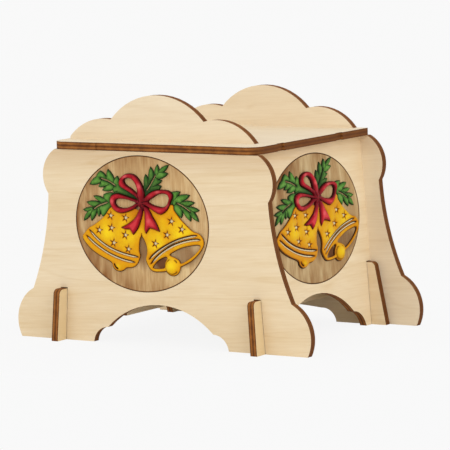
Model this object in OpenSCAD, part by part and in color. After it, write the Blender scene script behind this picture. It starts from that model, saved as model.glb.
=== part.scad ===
// Jack in the box: a laser-cut plywood box with splayed side walls and waisted end panels.
// A crested lid turns on two cranked hinges behind the box, and a figure on a coil spring
// rises out of it. Oval medallions with bells, a bow and leaves are let into all four sides.
// X runs to the right, Y to the back and Z up, with the origin under the middle of the box.

/* [Sheet] */
// Thickness of the plywood sheet
ply = 4; // [3.5:0.25:4.5]
// Thickness of the thin sheet behind the inlaid discs
backing_t = 2; // [1.5:0.25:3]
// Gap burnt away round an inlaid disc
kerf = 0.35; // [0.2:0.05:0.6]
// Clearance where one sheet passes through a slot in another
slot_gap = 0.25; // [0.15:0.05:0.5]

/* [Box] */
// Height of the box under the lid
box_h = 102.6; // [101.6:0.2:112]
// Depth from the face of the front panel to the face of the back panel
box_d = 115; // [113:0.5:130]
// Half width over the side walls at the top
wall_top_half = 58.6; // [57.5:0.1:60]
// Lean of each side wall from the vertical, in degrees
splay = 3.85; // [3:0.05:4.5]
// Top of the floor board above the ground
floor_top = 30; // [29:0.5:33]

/* [End panels] */
// Half width of an end panel at its top
shoulder_half = 64.7; // [63:0.1:68]
// Half width at the notch under the shoulder
notch_half = 69.8; // [68:0.1:72]
// Height of the shoulder above that notch
shoulder_h = 24.1; // [22:0.1:26]
// How far the shoulder bulges
shoulder_bulge = 5.5; // [3:0.1:7]
// How much narrower the back panel's shoulder is at its top
back_shoulder_in = 1.6; // [0:0.1:3]
// How far the flank curves in
flank_bulge = 2.4; // [1:0.1:4]
// Half width at the notch over the foot
ankle_half = 82.3; // [80:0.1:84]
// Height of the foot
ankle_z = 26.8; // [24:0.1:29]
// Half span of the feet on the ground
foot_half = 91.2; // [88:0.2:96]
// How far the foot bulges
foot_bulge = 6; // [3:0.1:8]
// Half width between the feet on the ground
instep_half = 43; // [41:0.1:46]
// Half width at the cusp where the arch springs
cusp_half = 33.7; // [30:0.1:36]
// Height of the cusp
cusp_z = 8.3; // [6:0.1:10]
// Height of the arch
arch_z = 22; // [18:0.1:24]
// How far the scallop between foot and cusp cuts in
scallop = 2.4; // [1:0.1:3]

/* [Side walls] */
// Distance from the front face to the middle of the side arch
side_arch_y = 54; // [52:0.5:57]
// Half width between the feet of a side wall on the ground
side_instep_half = 47.5; // [45:0.1:49]
// Half width at the side cusp
side_cusp_half = 36; // [33:0.1:38]
// Height of the side cusp
side_cusp_z = 9.5; // [7:0.1:11]
// Height of the side arch
side_arch_z = 24; // [20:0.1:25]
// Height of the stub that passes through the front panel
stub_z = 28; // [26:0.1:29]
// How far the stub stands out at its top
stub_top_reach = 6.9; // [4:0.1:8]
// How far the stub stands out on the ground
stub_foot_reach = 7.9; // [7:0.1:10]
// Rounding of the stub's free corner
stub_r = 2.6; // [1:0.1:3]

/* [Back cross wall] */
// Height of the ends that pass through the side walls
cross_z = 34; // [32:0.1:38]
// How far those ends stand out at their top
cross_top_reach = 5; // [3:0.1:7]
// How far those ends stand out on the ground
cross_foot_reach = 9; // [8:0.1:11]
// Height of its low arch between the feet
cross_arch_z = 9; // [8:0.1:12]

/* [Medallions] */
// Sideways shift of the disc in an end panel from the panel's middle
end_disc_x = -9.5; // [-12:0.1:0]
// Drop of that disc's middle below the top of the box
end_disc_drop = 38.1; // [37.5:0.1:39]
// Half width of that disc
end_disc_rx = 42.3; // [38:0.1:44]
// Half height of that disc
end_disc_rz = 35.9; // [32:0.1:36]
// Distance from the front face to the middle of the disc in a side wall
side_disc_y = 58.7; // [56:0.1:60]
// Drop of that disc's middle below the top of the box
side_disc_drop = 39.1; // [38:0.1:40]
// Half width of that disc
side_disc_rx = 44.9; // [40:0.1:46]
// Half height of that disc
side_disc_rz = 34.3; // [31:0.1:35]
// Thickness of the painted leaves
leaf_t = 0.8; // [0.5:0.1:1.2]
// Thickness of the painted bells
bell_t = 0.8; // [0.5:0.1:1.4]
// Thickness of the pale layer that shows through the cuts in the bells
bell_back_t = 0.5; // [0.3:0.1:0.8]
// Thickness of the painted bow
bow_t = 1.7; // [1.2:0.1:2.5]

/* [Lid] */
// Half width of the lid
lid_half = 65.2; // [64:0.1:67]
// Sideways shift of the lid's middle
lid_x = -1.4; // [-2:0.1:0]
// How far the lid stands over the front panel's face
lid_over = 0.6; // [0:0.1:1.5]
// Rounding of the lid's front corners
lid_corner_r = 8; // [4:0.5:10]
// Gap between the closed lid and the walls under it
lid_gap = 0.15; // [0.1:0.05:0.4]
// Half width of the shallow step in the lid's front edge
lid_step_half = 37; // [30:0.5:45]
// Depth of that step
lid_step = 0.4; // [0.2:0.1:1]
// Depth of the finger recesses in the lid's side edges
recess_depth = 1.2; // [0.8:0.1:2]
// Length of a finger recess
recess_len = 6.5; // [5:0.5:9]
// Distance from the front face to the front pair of recesses
recess_front_y = 23.5; // [20:0.5:30]
// Distance from the front recesses to the rear ones
recess_pitch = 58; // [50:0.5:64]
// Height of the front crest above the lid
front_crest_h = 24.2; // [20:0.2:28]
// Distance from the lid's front edge to the front crest
front_crest_y = 16; // [14:0.5:24]
// Sideways shift of the front crest from the lid's middle
front_crest_x = -8.8; // [-9:0.1:0]
// Half width of the front crest's middle lobe
front_lobe_half = 29.8; // [26:0.1:32]
// Half width of the front crest at its foot
front_crest_half = 61.2; // [60.5:0.1:63]
// Height of the back crest above the lid
back_crest_h = 22.4; // [20:0.2:28]
// Half width of the back crest's middle lobe
back_lobe_half = 27.4; // [24:0.1:30]
// Half width of the back crest at its foot
back_crest_half = 57; // [54:0.1:60]
// Height of the notches between a crest's lobes above the lid
crest_notch_h = 10.8; // [9:0.1:12]
// How far a crest's outer lobe bulges
crest_bulge = 5.2; // [4:0.1:6]

/* [Hinges] */
// Distance of each hinge's middle from the box's middle
hinge_x = 38; // [36:0.5:40]
// Length of a hinge
hinge_w = 22; // [18:0.5:24]
// Thickness of a hinge leaf
leaf_metal = 0.8; // [0.6:0.1:1]
// Outer radius of a knuckle
knuckle_r = 1.6; // [1.4:0.1:2]
// Radius of a hinge pin
pin_r = 0.7; // [0.5:0.05:0.8]
// Radial clearance of a pin in its knuckles
pin_gap = 0.05; // [0.03:0.01:0.08]
// Height of the hinge axis above the top of the box
hinge_up = 1; // [0.8:0.1:1.5]
// Radius of a hinge screw's shank
screw_r = 0.55; // [0.4:0.05:0.7]
// Radius of a hinge screw's head
screw_head_r = 1.3; // [1.1:0.05:1.5]

/* [Catch] */
// Width of the catch block behind the front panel
catch_w = 18; // [14:1:24]
// Radius of the magnet and of its keeper in the lid
magnet_r = 3; // [2:0.25:3.5]

/* [Jack] */
// Radius of the spring's coil at the middle of the wire
coil_r = 12.5; // [12:0.25:13]
// Radius of the spring wire
wire_r = 0.8; // [0.6:0.05:0.9]
// Turns of the spring
coil_turns = 8; // [6:1:8]
// Height of the pressed-down spring
coil_h = 19; // [18.5:0.5:20]
// Outer radius of the pleated sleeve round the spring
sleeve_r = 19.5; // [18:0.25:20]
// Pleats in the sleeve
pleats = 6; // [4:1:7]
// Height of the torso
torso_h = 12; // [11:0.5:13]
// Radius of the head
head_r = 12; // [11:0.25:12.5]
// Outer radius of the ruff
ruff_r = 16.5; // [15:0.25:18]
// Folds in the ruff
ruff_folds = 14; // [10:1:18]

/* [Hidden] */

birch = [0.91, 0.83, 0.69];
birch_side = [0.85, 0.76, 0.59];
stained = [0.72, 0.56, 0.38];
green = [0.25, 0.47, 0.17];
yellow = [0.93, 0.72, 0.12];
crimson = [0.74, 0.12, 0.18];
cream = [0.95, 0.9, 0.78];
brass = [0.8, 0.65, 0.3];
steel = [0.7, 0.7, 0.72];

eps = 0.01;
arc_steps = 16;
curve_steps = 5;

// Places that follow from the sizes above
wall_slant = ply / cos(splay);
lid_bottom = box_h + lid_gap;
lid_top = lid_bottom + ply;
lid_d = box_d - ply - lid_gap;
back_inside = box_d - ply;
cross_y = back_inside - ply;
hinge_y = box_d + knuckle_r;
hinge_z = box_h + hinge_up;
hinge_leaf_drop = 7.6;
hinge_leaf_rise = 5.6;
knuckle_share = 0.4;
knuckle_gap = 0.15;
rear_reach = hinge_y + knuckle_r;
mid_y = (rear_reach - stub_foot_reach) / 2;
floor_bottom = floor_top - ply;
rail_h = 11.6;
rail_left_x = -26;
rail_right_x = 38;
catch_d = 8;
catch_h = 10;
magnet_t = 3;
keeper_t = 1.6;
catch_y = ply + backing_t;

// Heights in the jack, from the floor board up
base_t = 3;
boss_h = 3;
boss_gap = 0.5;
top_t = 2;
cloth_t = 1.4;
sleeve_clear = 0.6;
sleeve_in = 0.4;
seat_gap = 0.1;
jack_y = (ply + cross_y) / 2;
coil_z = floor_top + base_t;
top_z = coil_z + coil_h;
torso_z = top_z + top_t;
torso_r = 16;
torso_bulge = 3.2;
neck_r = 5;
neck_h = 4;
ruff_t = 2.6;
neck_z = torso_z + torso_h;
head_z = neck_z + neck_h + sqrt(head_r * head_r - neck_r * neck_r);
cap_t = 1.2;
cap_rim_z = head_z + 0.28 * head_r;
horn_r = 3;
horn_sweep_r = 8.5;
horn_x = 9.5;
horn_rise = 6;
horn_z = head_z + horn_rise;
cap_bell_r = 2.5;
nose_r = 2.2;
nose_peg_r = 1;
nose_peg_l = 2;
button_r = 1.5;
hand_r = 2.8;
hand_reach = 2.6;
arm_r = 2.5;

// Outer face of a side wall at height z, and its inner face
function wall_out(z) = wall_top_half + (box_h - z) * tan(splay);
function wall_in(z) = wall_out(z) - wall_slant;

// Points of the arc from p to q that bulges to the left of the way by sag, without q
function arc(p, q, sag, steps) =
    abs(sag) < eps ? [p] :
    let (half = norm(q - p) / 2,
         r = (half * half + sag * sag) / (2 * abs(sag)),
         along = (q - p) / (2 * half),
         left = [-along[1], along[0]] * sign(sag),
         mid = (p + q) / 2 - left * (r - abs(sag)),
         start = atan2(p[1] - mid[1], p[0] - mid[0]),
         sweep = 2 * asin(min(1, half / r)))
    [for (k = [0:steps - 1]) let (a = start - sign(sag) * sweep * k / steps)
        mid + r * [cos(a), sin(a)]];

// Closed outline from corners [x, y] or [x, y, bulge of the edge that follows]
function outline(c, steps = arc_steps) =
    [for (i = [0:len(c) - 1])
        let (p = c[i], q = c[(i + 1) % len(c)])
        each arc([p[0], p[1]], [q[0], q[1]], len(p) > 2 ? p[2] : 0, steps)];

// The right half of an outline, from top to bottom, joined with its mirror image
function both_halves(c) = concat(c,
    [for (i = [len(c) - 1:-1:0])
        [-c[i][0], c[i][1], i > 0 && len(c[i - 1]) > 2 ? c[i - 1][2] : 0]]);

// A point on the smooth curve through b and c, with a and d beyond them
function curve_point(a, b, c, d, t) =
    0.5 * (2 * b + (c - a) * t + (2 * a - 5 * b + 4 * c - d) * t * t
        + (3 * b - a - 3 * c + d) * t * t * t);

// Smooth closed curve through the points p
function closed_curve(p, steps = curve_steps) =
    let (n = len(p))
    [for (i = [0:n - 1]) for (k = [0:steps - 1])
        curve_point(p[(i + n - 1) % n], p[i], p[(i + 1) % n], p[(i + 2) % n], k / steps)];

// Smooth open curve through the points p
function open_curve(p, steps = curve_steps) =
    let (n = len(p))
    [for (i = [0:n - 2]) for (k = [0:(i == n - 2 ? steps : steps - 1)])
        curve_point(p[max(i - 1, 0)], p[i], p[i + 1], p[min(i + 2, n - 1)], k / steps)];

// A narrow slit of width w along the points p, drawn in at both ends
function slit(p, w) =
    let (s = open_curve(p), n = len(s),
         side = [for (i = [0:n - 1])
             let (d = s[min(i + 1, n - 1)] - s[max(i - 1, 0)], end = min(i, n - 1 - i) / (n - 1))
             [-d[1], d[0]] / norm(d) * w / 2 * min(1, 0.2 + 8 * end)])
    concat([for (i = [0:n - 1]) s[i] + side[i]], [for (i = [n - 1:-1:0]) s[i] - side[i]]);

// A star with five thin arms round p
function star(p, r) =
    [for (i = [0:9]) let (a = 36 * i + star_turn, reach = i % 2 == 0 ? r : star_waist * r)
        p + reach * [sin(a), cos(a)]];

// ---- Medallion drawing, in millimetres on a disc of the size below -------------------------

art_rx = 42.3;
art_rz = 35.9;
slot_w = 1.3;
star_r = 2.4;
star_waist = 0.27;
star_turn = 12;
leaf_bulge = 0.09;

left_bell = [[-13, 10], [-18.9, 8.2], [-22.6, 4.1], [-26.8, 0.8], [-30.4, -1.5], [-33.4, -3],
    [-36, -5.4], [-37.9, -8.6], [-33.3, -13.9], [-27, -17.7], [-19.9, -20.8], [-18.8, -23.1],
    [-16.8, -25], [-14.3, -25.5], [-11.8, -24.8], [-9.9, -23.5], [-6.7, -23.2], [-4.2, -22.2],
    [-2.2, -20], [-1, -16.6], [-1.5, -14.4], [-1.4, -11.3], [-0.8, -7.9], [0.4, -4.8], [1, 6]];
right_bell = [[0, 6], [0.4, -4.8], [2.1, -8.3], [3.4, -11.6], [3.5, -15], [2.7, -18.4],
    [3.6, -21], [5.3, -23.4], [7.6, -24.6], [11.4, -24.6], [16, -23.9], [24.4, -21.4],
    [30.4, -18.6], [34.6, -15.6], [38, -12], [39.6, -9], [39.1, -6], [36.8, -3.6],
    [32.9, -2.4], [28.9, 0.6], [24.9, 4.2], [21.6, 8], [19, 11]];
mouth_small = [[7.1, -22.7], [8.8, -20.2], [11.7, -18], [15.4, -16.6], [16.3, -17.6],
    [15, -20.3], [14.3, -22.5], [10.4, -23.1]];
mouth_large = [[18, -15.2], [24.2, -11.9], [30.2, -10.2], [35.8, -9.4], [37.4, -10.2],
    [35.9, -12.6], [32.3, -15.7], [28.1, -18.3], [24.9, -19.6], [23.6, -18], [20.6, -16.6]];
clapper_at = [19.6, -21.4];
clapper_r = 4.9;
clapper_line = [[-17.9, -21.6], [-17, -23.3], [-15.3, -24.4]];
bell_slots = [
    [[-33.3, -4.2], [-28.6, -8.6], [-22.5, -12.4], [-15.5, -15.1], [-8.4, -16.7], [-2, -17.5]],
    [[-35.4, -7.3], [-30.4, -11.3], [-24, -15], [-18.4, -17.4], [-11.4, -19.4], [-4.3, -20.4]],
    [[4.6, -18.4], [9.4, -14.6], [14.8, -11.3], [22.3, -7.8], [29.7, -5.6], [35.6, -4.5]],
    [[5.6, -20.8], [11.1, -15.8], [18.3, -11.4], [25.2, -8.7], [32.6, -7], [37.6, -6.7]]];
bell_stars = [[-19.2, 3.8], [-9.6, 3], [-26.9, -4.2], [-18.9, -2.7], [-10.1, -6.2],
    [-17.8, -10.6], [-8.4, -13.6], [19.6, 2.3], [26.1, -1.7], [16.6, -5], [9, -9.9]];

bow_loops = [
    [[0.6, 11.9], [-3.3, 15.1], [-8.5, 17.7], [-12, 19.5], [-12.9, 21.7], [-11.4, 24.6],
     [-8.7, 26.2], [-5.8, 26.6], [-2.6, 25.8], [0.2, 23.2], [2.2, 19.6], [3.1, 15.8],
     [2.4, 12.4]],
    [[0.3, 12.1], [-6.3, 14], [-11, 15.2], [-14.5, 15.7], [-17.7, 14.7], [-19, 12.5],
     [-18.7, 10.1], [-17.2, 7.5], [-14.6, 5.9], [-11.1, 5.5], [-6.3, 6.8], [-1.9, 8.8],
     [0.9, 10.7]],
    [[2.1, 12.7], [6.1, 16.4], [10.3, 18.2], [15, 18.7], [18.6, 18.3], [20.9, 16.6],
     [20.8, 14.4], [19.7, 12.4], [18.9, 10.2], [16.6, 7.3], [13.1, 5.7], [9.5, 7],
     [5.5, 9.2], [2.3, 11]]];
bow_eyes = [
    [[-9.8, 22.4], [-8.8, 23.7], [-6.8, 24.1], [-4.5, 23.5], [-2.5, 21.4], [-1.4, 18.5],
     [-1.5, 16.2], [-5, 18.6], [-8.3, 20.4]],
    [[-15.8, 10.9], [-14.9, 12.5], [-12.5, 13], [-8.4, 12.8], [-5.2, 12.1], [-2.6, 11.3],
     [-4.1, 10], [-7.7, 8.6], [-11.3, 8.2], [-14.3, 8.9]],
    [[5.4, 12.1], [8.3, 14.1], [11.9, 16.1], [15.5, 16.6], [17.9, 15.9], [18.7, 14.3],
     [18.2, 12.4], [16.9, 10.5], [14.5, 9.6], [11.1, 9.9], [7.8, 10.7]]];
bow_tails = [
    [[0.8, 10.2, 0.3], [-3.3, 3, 0.4], [-12.3, -2.2, 0], [-9.7, -3, 0], [-6.7, -2.8, 0],
     [-4.7, -5.7, -0.7], [0.3, 1.7, -0.4], [2.4, 9.5, 0]],
    [[2, 9.5, 0.4], [3.1, 4, 0.2], [2.7, -2.5, 0], [3.5, -4.9, 0], [6, -1.8, 0],
     [8.5, -2.2, 0], [12.4, -3.4, -0.4], [7.9, 4.5, -0.3], [4.6, 9.6, 0]]];
knot_at = [1, 11.3];
knot_r = 2.6;

leaf_sprigs = [
    [[-12.4, 20.6], [-14.2, 25.1], [-16.1, 23.4], [-20.3, 28.5], [-21.3, 24.6], [-25.2, 27.5],
     [-28, 24.4], [-32.5, 19.9], [-25.4, 20.8], [-26.7, 18.8], [-22.4, 19.1], [-24.4, 17],
     [-17.5, 17.2], [-15, 14], [0, 12], [-4, 17]],
    [[-17, 16], [-23.6, 15], [-23.7, 13.1], [-30.3, 14], [-25.9, 10.7], [-35, 10.6],
     [-29.9, 7.9], [-37.5, 6.4], [-34.7, 5.2], [-37.2, 0.3], [-32.5, 3.6], [-32, 0.4],
     [-28.1, 5.7], [-27.2, 2.8], [-25.8, 5.6], [-24.7, 3.1], [-19, 6], [-12, 11]],
    [[3, 14], [2.6, 21], [3.8, 26.5], [5.7, 24.1], [7.2, 30.6], [9.4, 27], [11.6, 31.9],
     [12.8, 29.2], [18.8, 31.9], [15.8, 28], [18.4, 27.1], [12.2, 23.9], [14.4, 23.4],
     [11.1, 21], [13.9, 20.6], [9, 16], [4, 12]],
    [[18.5, 17], [25.6, 18.1], [24.2, 15.9], [31.7, 16.4], [27.3, 13.1], [34.6, 12.6],
     [30, 10.5], [37.4, 8.7], [34.3, 7.4], [36.7, 2.6], [31.8, 5.4], [31.6, 2.6],
     [26.9, 7.7], [25.9, 4.2], [20.5, 9], [16, 11]]];
leaf_veins = [[[-25.4, 23.5], [-20, 22], [-15.4, 19.7]], [[-30.5, 6.7], [-27, 8.8], [-21, 10.8]],
    [[3.9, 17.5], [6.8, 21], [10.4, 26.6]], [[23, 12], [27, 10.4], [32, 7.4]]];
vein_w = 0.7;

module bow_area() {
    translate(knot_at) circle(knot_r, $fn = 24);
    for (tail = bow_tails) polygon(outline(tail, 5));
    for (loop = bow_loops) polygon(closed_curve(loop));
}

module bow_shape() {
    difference() {
        bow_area();
        for (eye = bow_eyes) polygon(closed_curve(eye));
    }
}

module bell_area() {
    polygon(closed_curve(left_bell));
    polygon(closed_curve(right_bell));
}

module clapper() {
    translate(clapper_at) circle(clapper_r, $fn = 32);
}

module bell_shape() {
    difference() {
        bell_area();
        polygon(closed_curve(mouth_small));
        polygon(closed_curve(mouth_large));
        bow_area();
    }
    clapper();
}

module bell_cuts() {
    for (s = bell_slots) polygon(slit(s, slot_w));
    for (s = bell_stars) polygon(star(s, star_r));
    polygon(slit(clapper_line, 0.6 * slot_w));
}

// Twice the area inside the points, positive where they run anticlockwise
function turn_of(s, i = 0) = i == len(s) ? 0 :
    cross(s[i], s[(i + 1) % len(s)]) + turn_of(s, i + 1);

// The corners of a sprig, each edge swelling outward in proportion to its length
function leaf_corners(s) =
    let (swell = -leaf_bulge * sign(turn_of(s)))
    [for (i = [0:len(s) - 1]) [s[i][0], s[i][1], swell * norm(s[(i + 1) % len(s)] - s[i])]];

module leaf_shape() {
    difference() {
        for (s = leaf_sprigs) polygon(outline(leaf_corners(s), 3));
        for (v = leaf_veins) polygon(slit(v, vein_w));
        bow_area();
        bell_area();
    }
}

// ---- Frames --------------------------------------------------------------------------------

// The frame of one outer face: x to the viewer's right, y up, z out of the face
module on_face(face) {
    translate([0, -mid_y, 0]) {
        if (face == "front") rotate([90, 0, 0]) children();
        if (face == "back") translate([0, box_d, 0]) rotate([90, 0, 180]) children();
        if (face == "right") side_face(1) children();
        if (face == "left") side_face(-1) children();
    }
}

module side_face(side) {
    translate([side * wall_out(0), 0, 0]) rotate([0, -side * splay, 0])
        rotate([90, 0, side * 90]) children();
}

// Measured from the front panel's face
module from_front() {
    translate([0, -mid_y, 0]) children();
}

module sheet(t = ply) {
    translate([0, 0, -t]) linear_extrude(t) children();
}

function is_end(face) = face == "front" || face == "back";
function face_side(face) = face == "left" ? -1 : 1;
function disc_at(face) = is_end(face) ? [end_disc_x, box_h - end_disc_drop]
    : [face_side(face) * side_disc_y, (box_h - side_disc_drop) / cos(splay)];
function disc_r(face) = is_end(face) ? [end_disc_rx, end_disc_rz] : [side_disc_rx, side_disc_rz];

module oval(face, grow = 0, t = ply) {
    at = disc_at(face);
    r = disc_r(face);
    translate([at[0], at[1], 0]) scale([r[0] + grow, r[1] + grow, 1]) cylinder(r = 1, h = t, $fn = 96);
}

// ---- Box -----------------------------------------------------------------------------------

module end_panel(shoulder) {
    half = [[shoulder, box_h, shoulder_bulge], [notch_half, box_h - shoulder_h, -flank_bulge],
        [ankle_half, ankle_z, foot_bulge], [foot_half, 0], [instep_half, 0, -scallop],
        [cusp_half, cusp_z, cusp_z - arch_z]];
    difference() {
        sheet() polygon(outline(both_halves(half)));
        translate([0, 0, -ply - eps]) oval("front", kerf, ply + 2 * eps);
    }
}

module wall_slot(side) {
    top = stub_z + slot_gap;
    polygon([for (p = [[wall_out(-1) + slot_gap, -1], [wall_out(top) + slot_gap, top],
        [wall_in(top) - slot_gap, top], [wall_in(-1) - slot_gap, -1]]) [side * p[0], p[1]]]);
}

module front_panel() {
    color(birch) on_face("front") difference() {
        end_panel(shoulder_half);
        for (side = [-1, 1]) translate([0, 0, eps]) sheet(ply + 2 * eps) wall_slot(side);
    }
}

module back_panel() {
    color(birch) difference() {
        on_face("back") end_panel(shoulder_half - back_shoulder_in);
        body_screws(pin_gap);
    }
}

module wall_outline(side) {
    foot = side_arch_y + side_instep_half;
    toe = side_arch_y - side_instep_half;
    notch = (cross_z + slot_gap) / cos(splay) + ply * tan(splay);
    points = outline([[ply, box_h + 1], [back_inside, box_h + 1], [back_inside, notch],
        [cross_y - slot_gap, notch], [cross_y - slot_gap, -1], [foot, -1], [foot, 0, -scallop],
        [side_arch_y + side_cusp_half, side_cusp_z, side_cusp_z - side_arch_z],
        [side_arch_y - side_cusp_half, side_cusp_z, -scallop], [toe, 0], [toe, -1],
        [-stub_foot_reach, -1], [-stub_foot_reach, 0], [-stub_top_reach, stub_z - stub_r, 0.3 * stub_r],
        [stub_r - stub_top_reach, stub_z], [ply, stub_z]]);
    polygon([for (p = points) [side * p[0], p[1]]]);
}

module side_wall(face) {
    side = face_side(face);
    color(birch_side) intersection() {
        on_face(face) difference() {
            sheet() wall_outline(side);
            translate([0, 0, -ply - eps]) oval(face, kerf, ply + 2 * eps);
        }
        translate([-foot_half * 2, -box_d * 2, 0]) cube([foot_half * 4, box_d * 4, box_h]);
    }
}

module left_wall() {
    side_wall("left");
}

module right_wall() {
    side_wall("right");
}

module back_cross_wall() {
    half = [[wall_in(box_h), box_h], [wall_in(cross_z), cross_z],
        [wall_out(cross_z) + cross_top_reach - stub_r, cross_z, 0.3 * stub_r],
        [wall_out(cross_z - stub_r) + cross_top_reach, cross_z - stub_r],
        [wall_out(0) + cross_foot_reach, 0], [instep_half, 0, -scallop],
        [cusp_half, cusp_z - 1, cusp_z - 1 - cross_arch_z]];
    color(birch_side) difference() {
        from_front() translate([0, back_inside, 0]) rotate([90, 0, 0])
            linear_extrude(ply) polygon(outline(both_halves(half)));
        body_screws(pin_gap);
    }
}

module floor_board() {
    section = [[wall_in(floor_top), floor_top], [wall_in(floor_bottom), floor_bottom],
        [-wall_in(floor_bottom), floor_bottom], [-wall_in(floor_top), floor_top]];
    color(birch_side) from_front() translate([0, cross_y, 0]) rotate([90, 0, 0])
        linear_extrude(cross_y - ply) polygon(section);
}

module floor_rail(x) {
    color(stained) from_front() translate([x - ply / 2, ply, floor_bottom - rail_h])
        cube([ply, cross_y - ply, rail_h]);
}

module floor_rail_left() {
    floor_rail(rail_left_x);
}

module floor_rail_right() {
    floor_rail(rail_right_x);
}

// ---- Medallions ----------------------------------------------------------------------------

module disc(face) {
    color(stained) on_face(face) translate([0, 0, -ply]) oval(face);
}

// A painted piece of thickness t on the disc of a face
module painted(face, t, lift = 0) {
    at = disc_at(face);
    r = disc_r(face);
    on_face(face) translate([at[0], at[1], lift])
        linear_extrude(t) scale([r[0] / art_rx, r[1] / art_rz]) children();
}

module leaves(face) {
    color(green) painted(face, leaf_t) leaf_shape();
}

module bell_backs(face) {
    color(cream) painted(face, bell_back_t) bell_shape();
}

module bells(face) {
    color(yellow) painted(face, bell_t, bell_back_t) difference() {
        bell_shape();
        bell_cuts();
    }
}

module bow(face) {
    color(crimson) painted(face, bow_t) bow_shape();
}

// A thin board that holds a disc from inside, between the floor board and the lid
module backing(face) {
    margin = 4;
    at = disc_at(face);
    r = disc_r(face);
    low = floor_top / cos(splay) + (ply + backing_t) * tan(splay);
    high = box_h - 2 * ply * tan(splay);
    side = face_side(face);
    near_x = is_end(face) ? at[0] - 2 * r[0] : side * (ply + backing_t);
    far_x = is_end(face) ? at[0] + 2 * r[0] : side * (cross_y - seat_gap);
    color(birch_side) on_face(face) intersection() {
        translate([0, 0, -ply - backing_t]) oval(face, margin, backing_t);
        translate([min(near_x, far_x), low, -ply - 2 * backing_t])
            cube([abs(far_x - near_x), high - low, 3 * backing_t]);
    }
}

module front_disc() { disc("front"); }
module front_leaves() { leaves("front"); }
module front_bell_backs() { bell_backs("front"); }
module front_bells() { bells("front"); }
module front_bow() { bow("front"); }
module front_backing() { backing("front"); }
module right_disc() { disc("right"); }
module right_leaves() { leaves("right"); }
module right_bell_backs() { bell_backs("right"); }
module right_bells() { bells("right"); }
module right_bow() { bow("right"); }
module right_backing() { backing("right"); }
module back_disc() { disc("back"); }
module back_leaves() { leaves("back"); }
module back_bell_backs() { bell_backs("back"); }
module back_bells() { bells("back"); }
module back_bow() { bow("back"); }
module left_disc() { disc("left"); }
module left_leaves() { leaves("left"); }
module left_bell_backs() { bell_backs("left"); }
module left_bells() { bells("left"); }
module left_bow() { bow("left"); }
module left_backing() { backing("left"); }

// ---- Lid -----------------------------------------------------------------------------------

tab_w = 14;
tab_gap = 0.1;
tab_reach = 26;
front_tabs = [front_crest_x - tab_reach, front_crest_x + tab_reach];
back_tabs = [-tab_reach, tab_reach];
outer_lobe = 0.93;
left_lobe = 0.7;
back_notch_drop = 0.6;
corner_sag = lid_corner_r * (1 - cos(45));

module lid_outline() {
    right = lid_x + lid_half;
    left = lid_x - lid_half;
    difference() {
        polygon(outline([[right, lid_d], [right, lid_corner_r - lid_over, corner_sag],
            [right - lid_corner_r, -lid_over], [left + lid_corner_r, -lid_over, corner_sag],
            [left, lid_corner_r - lid_over], [left, lid_d]]));
        translate([-lid_step_half, -lid_over - eps]) square([2 * lid_step_half, lid_step + eps]);
        for (y = [recess_front_y, recess_front_y + recess_pitch]) {
            translate([right - recess_depth, y - recess_len / 2]) square([2 * recess_depth, recess_len]);
            translate([left - recess_depth, y - recess_len / 2]) square([2 * recess_depth, recess_len]);
        }
    }
}

module lid_plate() {
    color(birch) from_front() difference() {
        translate([0, 0, lid_bottom]) linear_extrude(ply) lid_outline();
        for (x = front_tabs) tab_slot(x, front_crest_y);
        for (x = back_tabs) tab_slot(x, lid_d - ply);
        translate([0, catch_y + catch_d / 2, lid_bottom - eps])
            cylinder(r = magnet_r + pin_gap, h = keeper_t + eps, $fn = 48);
    }
}

module tab_slot(x, y) {
    translate([x - tab_w / 2 - tab_gap, y, lid_bottom - eps])
        cube([tab_w + 2 * tab_gap, ply, ply + 2 * eps]);
}

// A crest stands on the lid at depth y with its tabs in the lid's slots
module crest(corners, tabs, y) {
    feet = [for (i = [len(tabs) - 1:-1:0]) let (a = tabs[i] + tab_w / 2, b = tabs[i] - tab_w / 2)
        each [[a, lid_top], [a, lid_bottom], [b, lid_bottom], [b, lid_top]]];
    translate([0, y + ply, 0]) rotate([90, 0, 0]) linear_extrude(ply)
        polygon(outline(concat(corners, feet)));
}

module front_crest() {
    notch = lid_top + crest_notch_h;
    left_end = lid_x - lid_half + 1;
    left_h = 1.2;
    corners = [[left_end, lid_top], [left_end, lid_top + left_h, left_lobe * crest_bulge],
        [front_crest_x - front_lobe_half, notch, front_crest_h - crest_notch_h],
        [front_crest_x + front_lobe_half, notch, crest_bulge],
        [front_crest_x + front_crest_half, lid_top]];
    color(birch) from_front() crest(corners, front_tabs, front_crest_y);
}

module back_crest() {
    notch = lid_top + crest_notch_h - back_notch_drop;
    corners = [[-back_crest_half, lid_top, outer_lobe * crest_bulge],
        [-back_lobe_half, notch, lid_top + back_crest_h - notch],
        [back_lobe_half, notch, outer_lobe * crest_bulge], [back_crest_half, lid_top]];
    color(birch) difference() {
        from_front() crest(corners, back_tabs, lid_d - ply);
        lid_screws(pin_gap);
    }
}

// ---- Catch ---------------------------------------------------------------------------------

module catch_block() {
    color(birch_side) from_front() difference() {
        translate([-catch_w / 2, catch_y, box_h - catch_h]) cube([catch_w, catch_d, catch_h]);
        translate([0, catch_y + catch_d / 2, box_h - magnet_t])
            cylinder(r = magnet_r + pin_gap, h = magnet_t + eps, $fn = 48);
    }
}

module catch_magnet() {
    color(steel) from_front() translate([0, catch_y + catch_d / 2, box_h - magnet_t])
        cylinder(r = magnet_r, h = magnet_t, $fn = 48);
}

module lid_keeper() {
    color(steel) from_front() translate([0, catch_y + catch_d / 2, lid_bottom])
        cylinder(r = magnet_r, h = keeper_t, $fn = 48);
}

// ---- Hinges --------------------------------------------------------------------------------

screw_pitch = 14;
body_screw_drop = 5.2;
lid_screw_rise = 3.2;
body_screw_z = hinge_z - body_screw_drop;
lid_screw_z = lid_top + lid_screw_rise;
head_h = 0.7;

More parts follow.
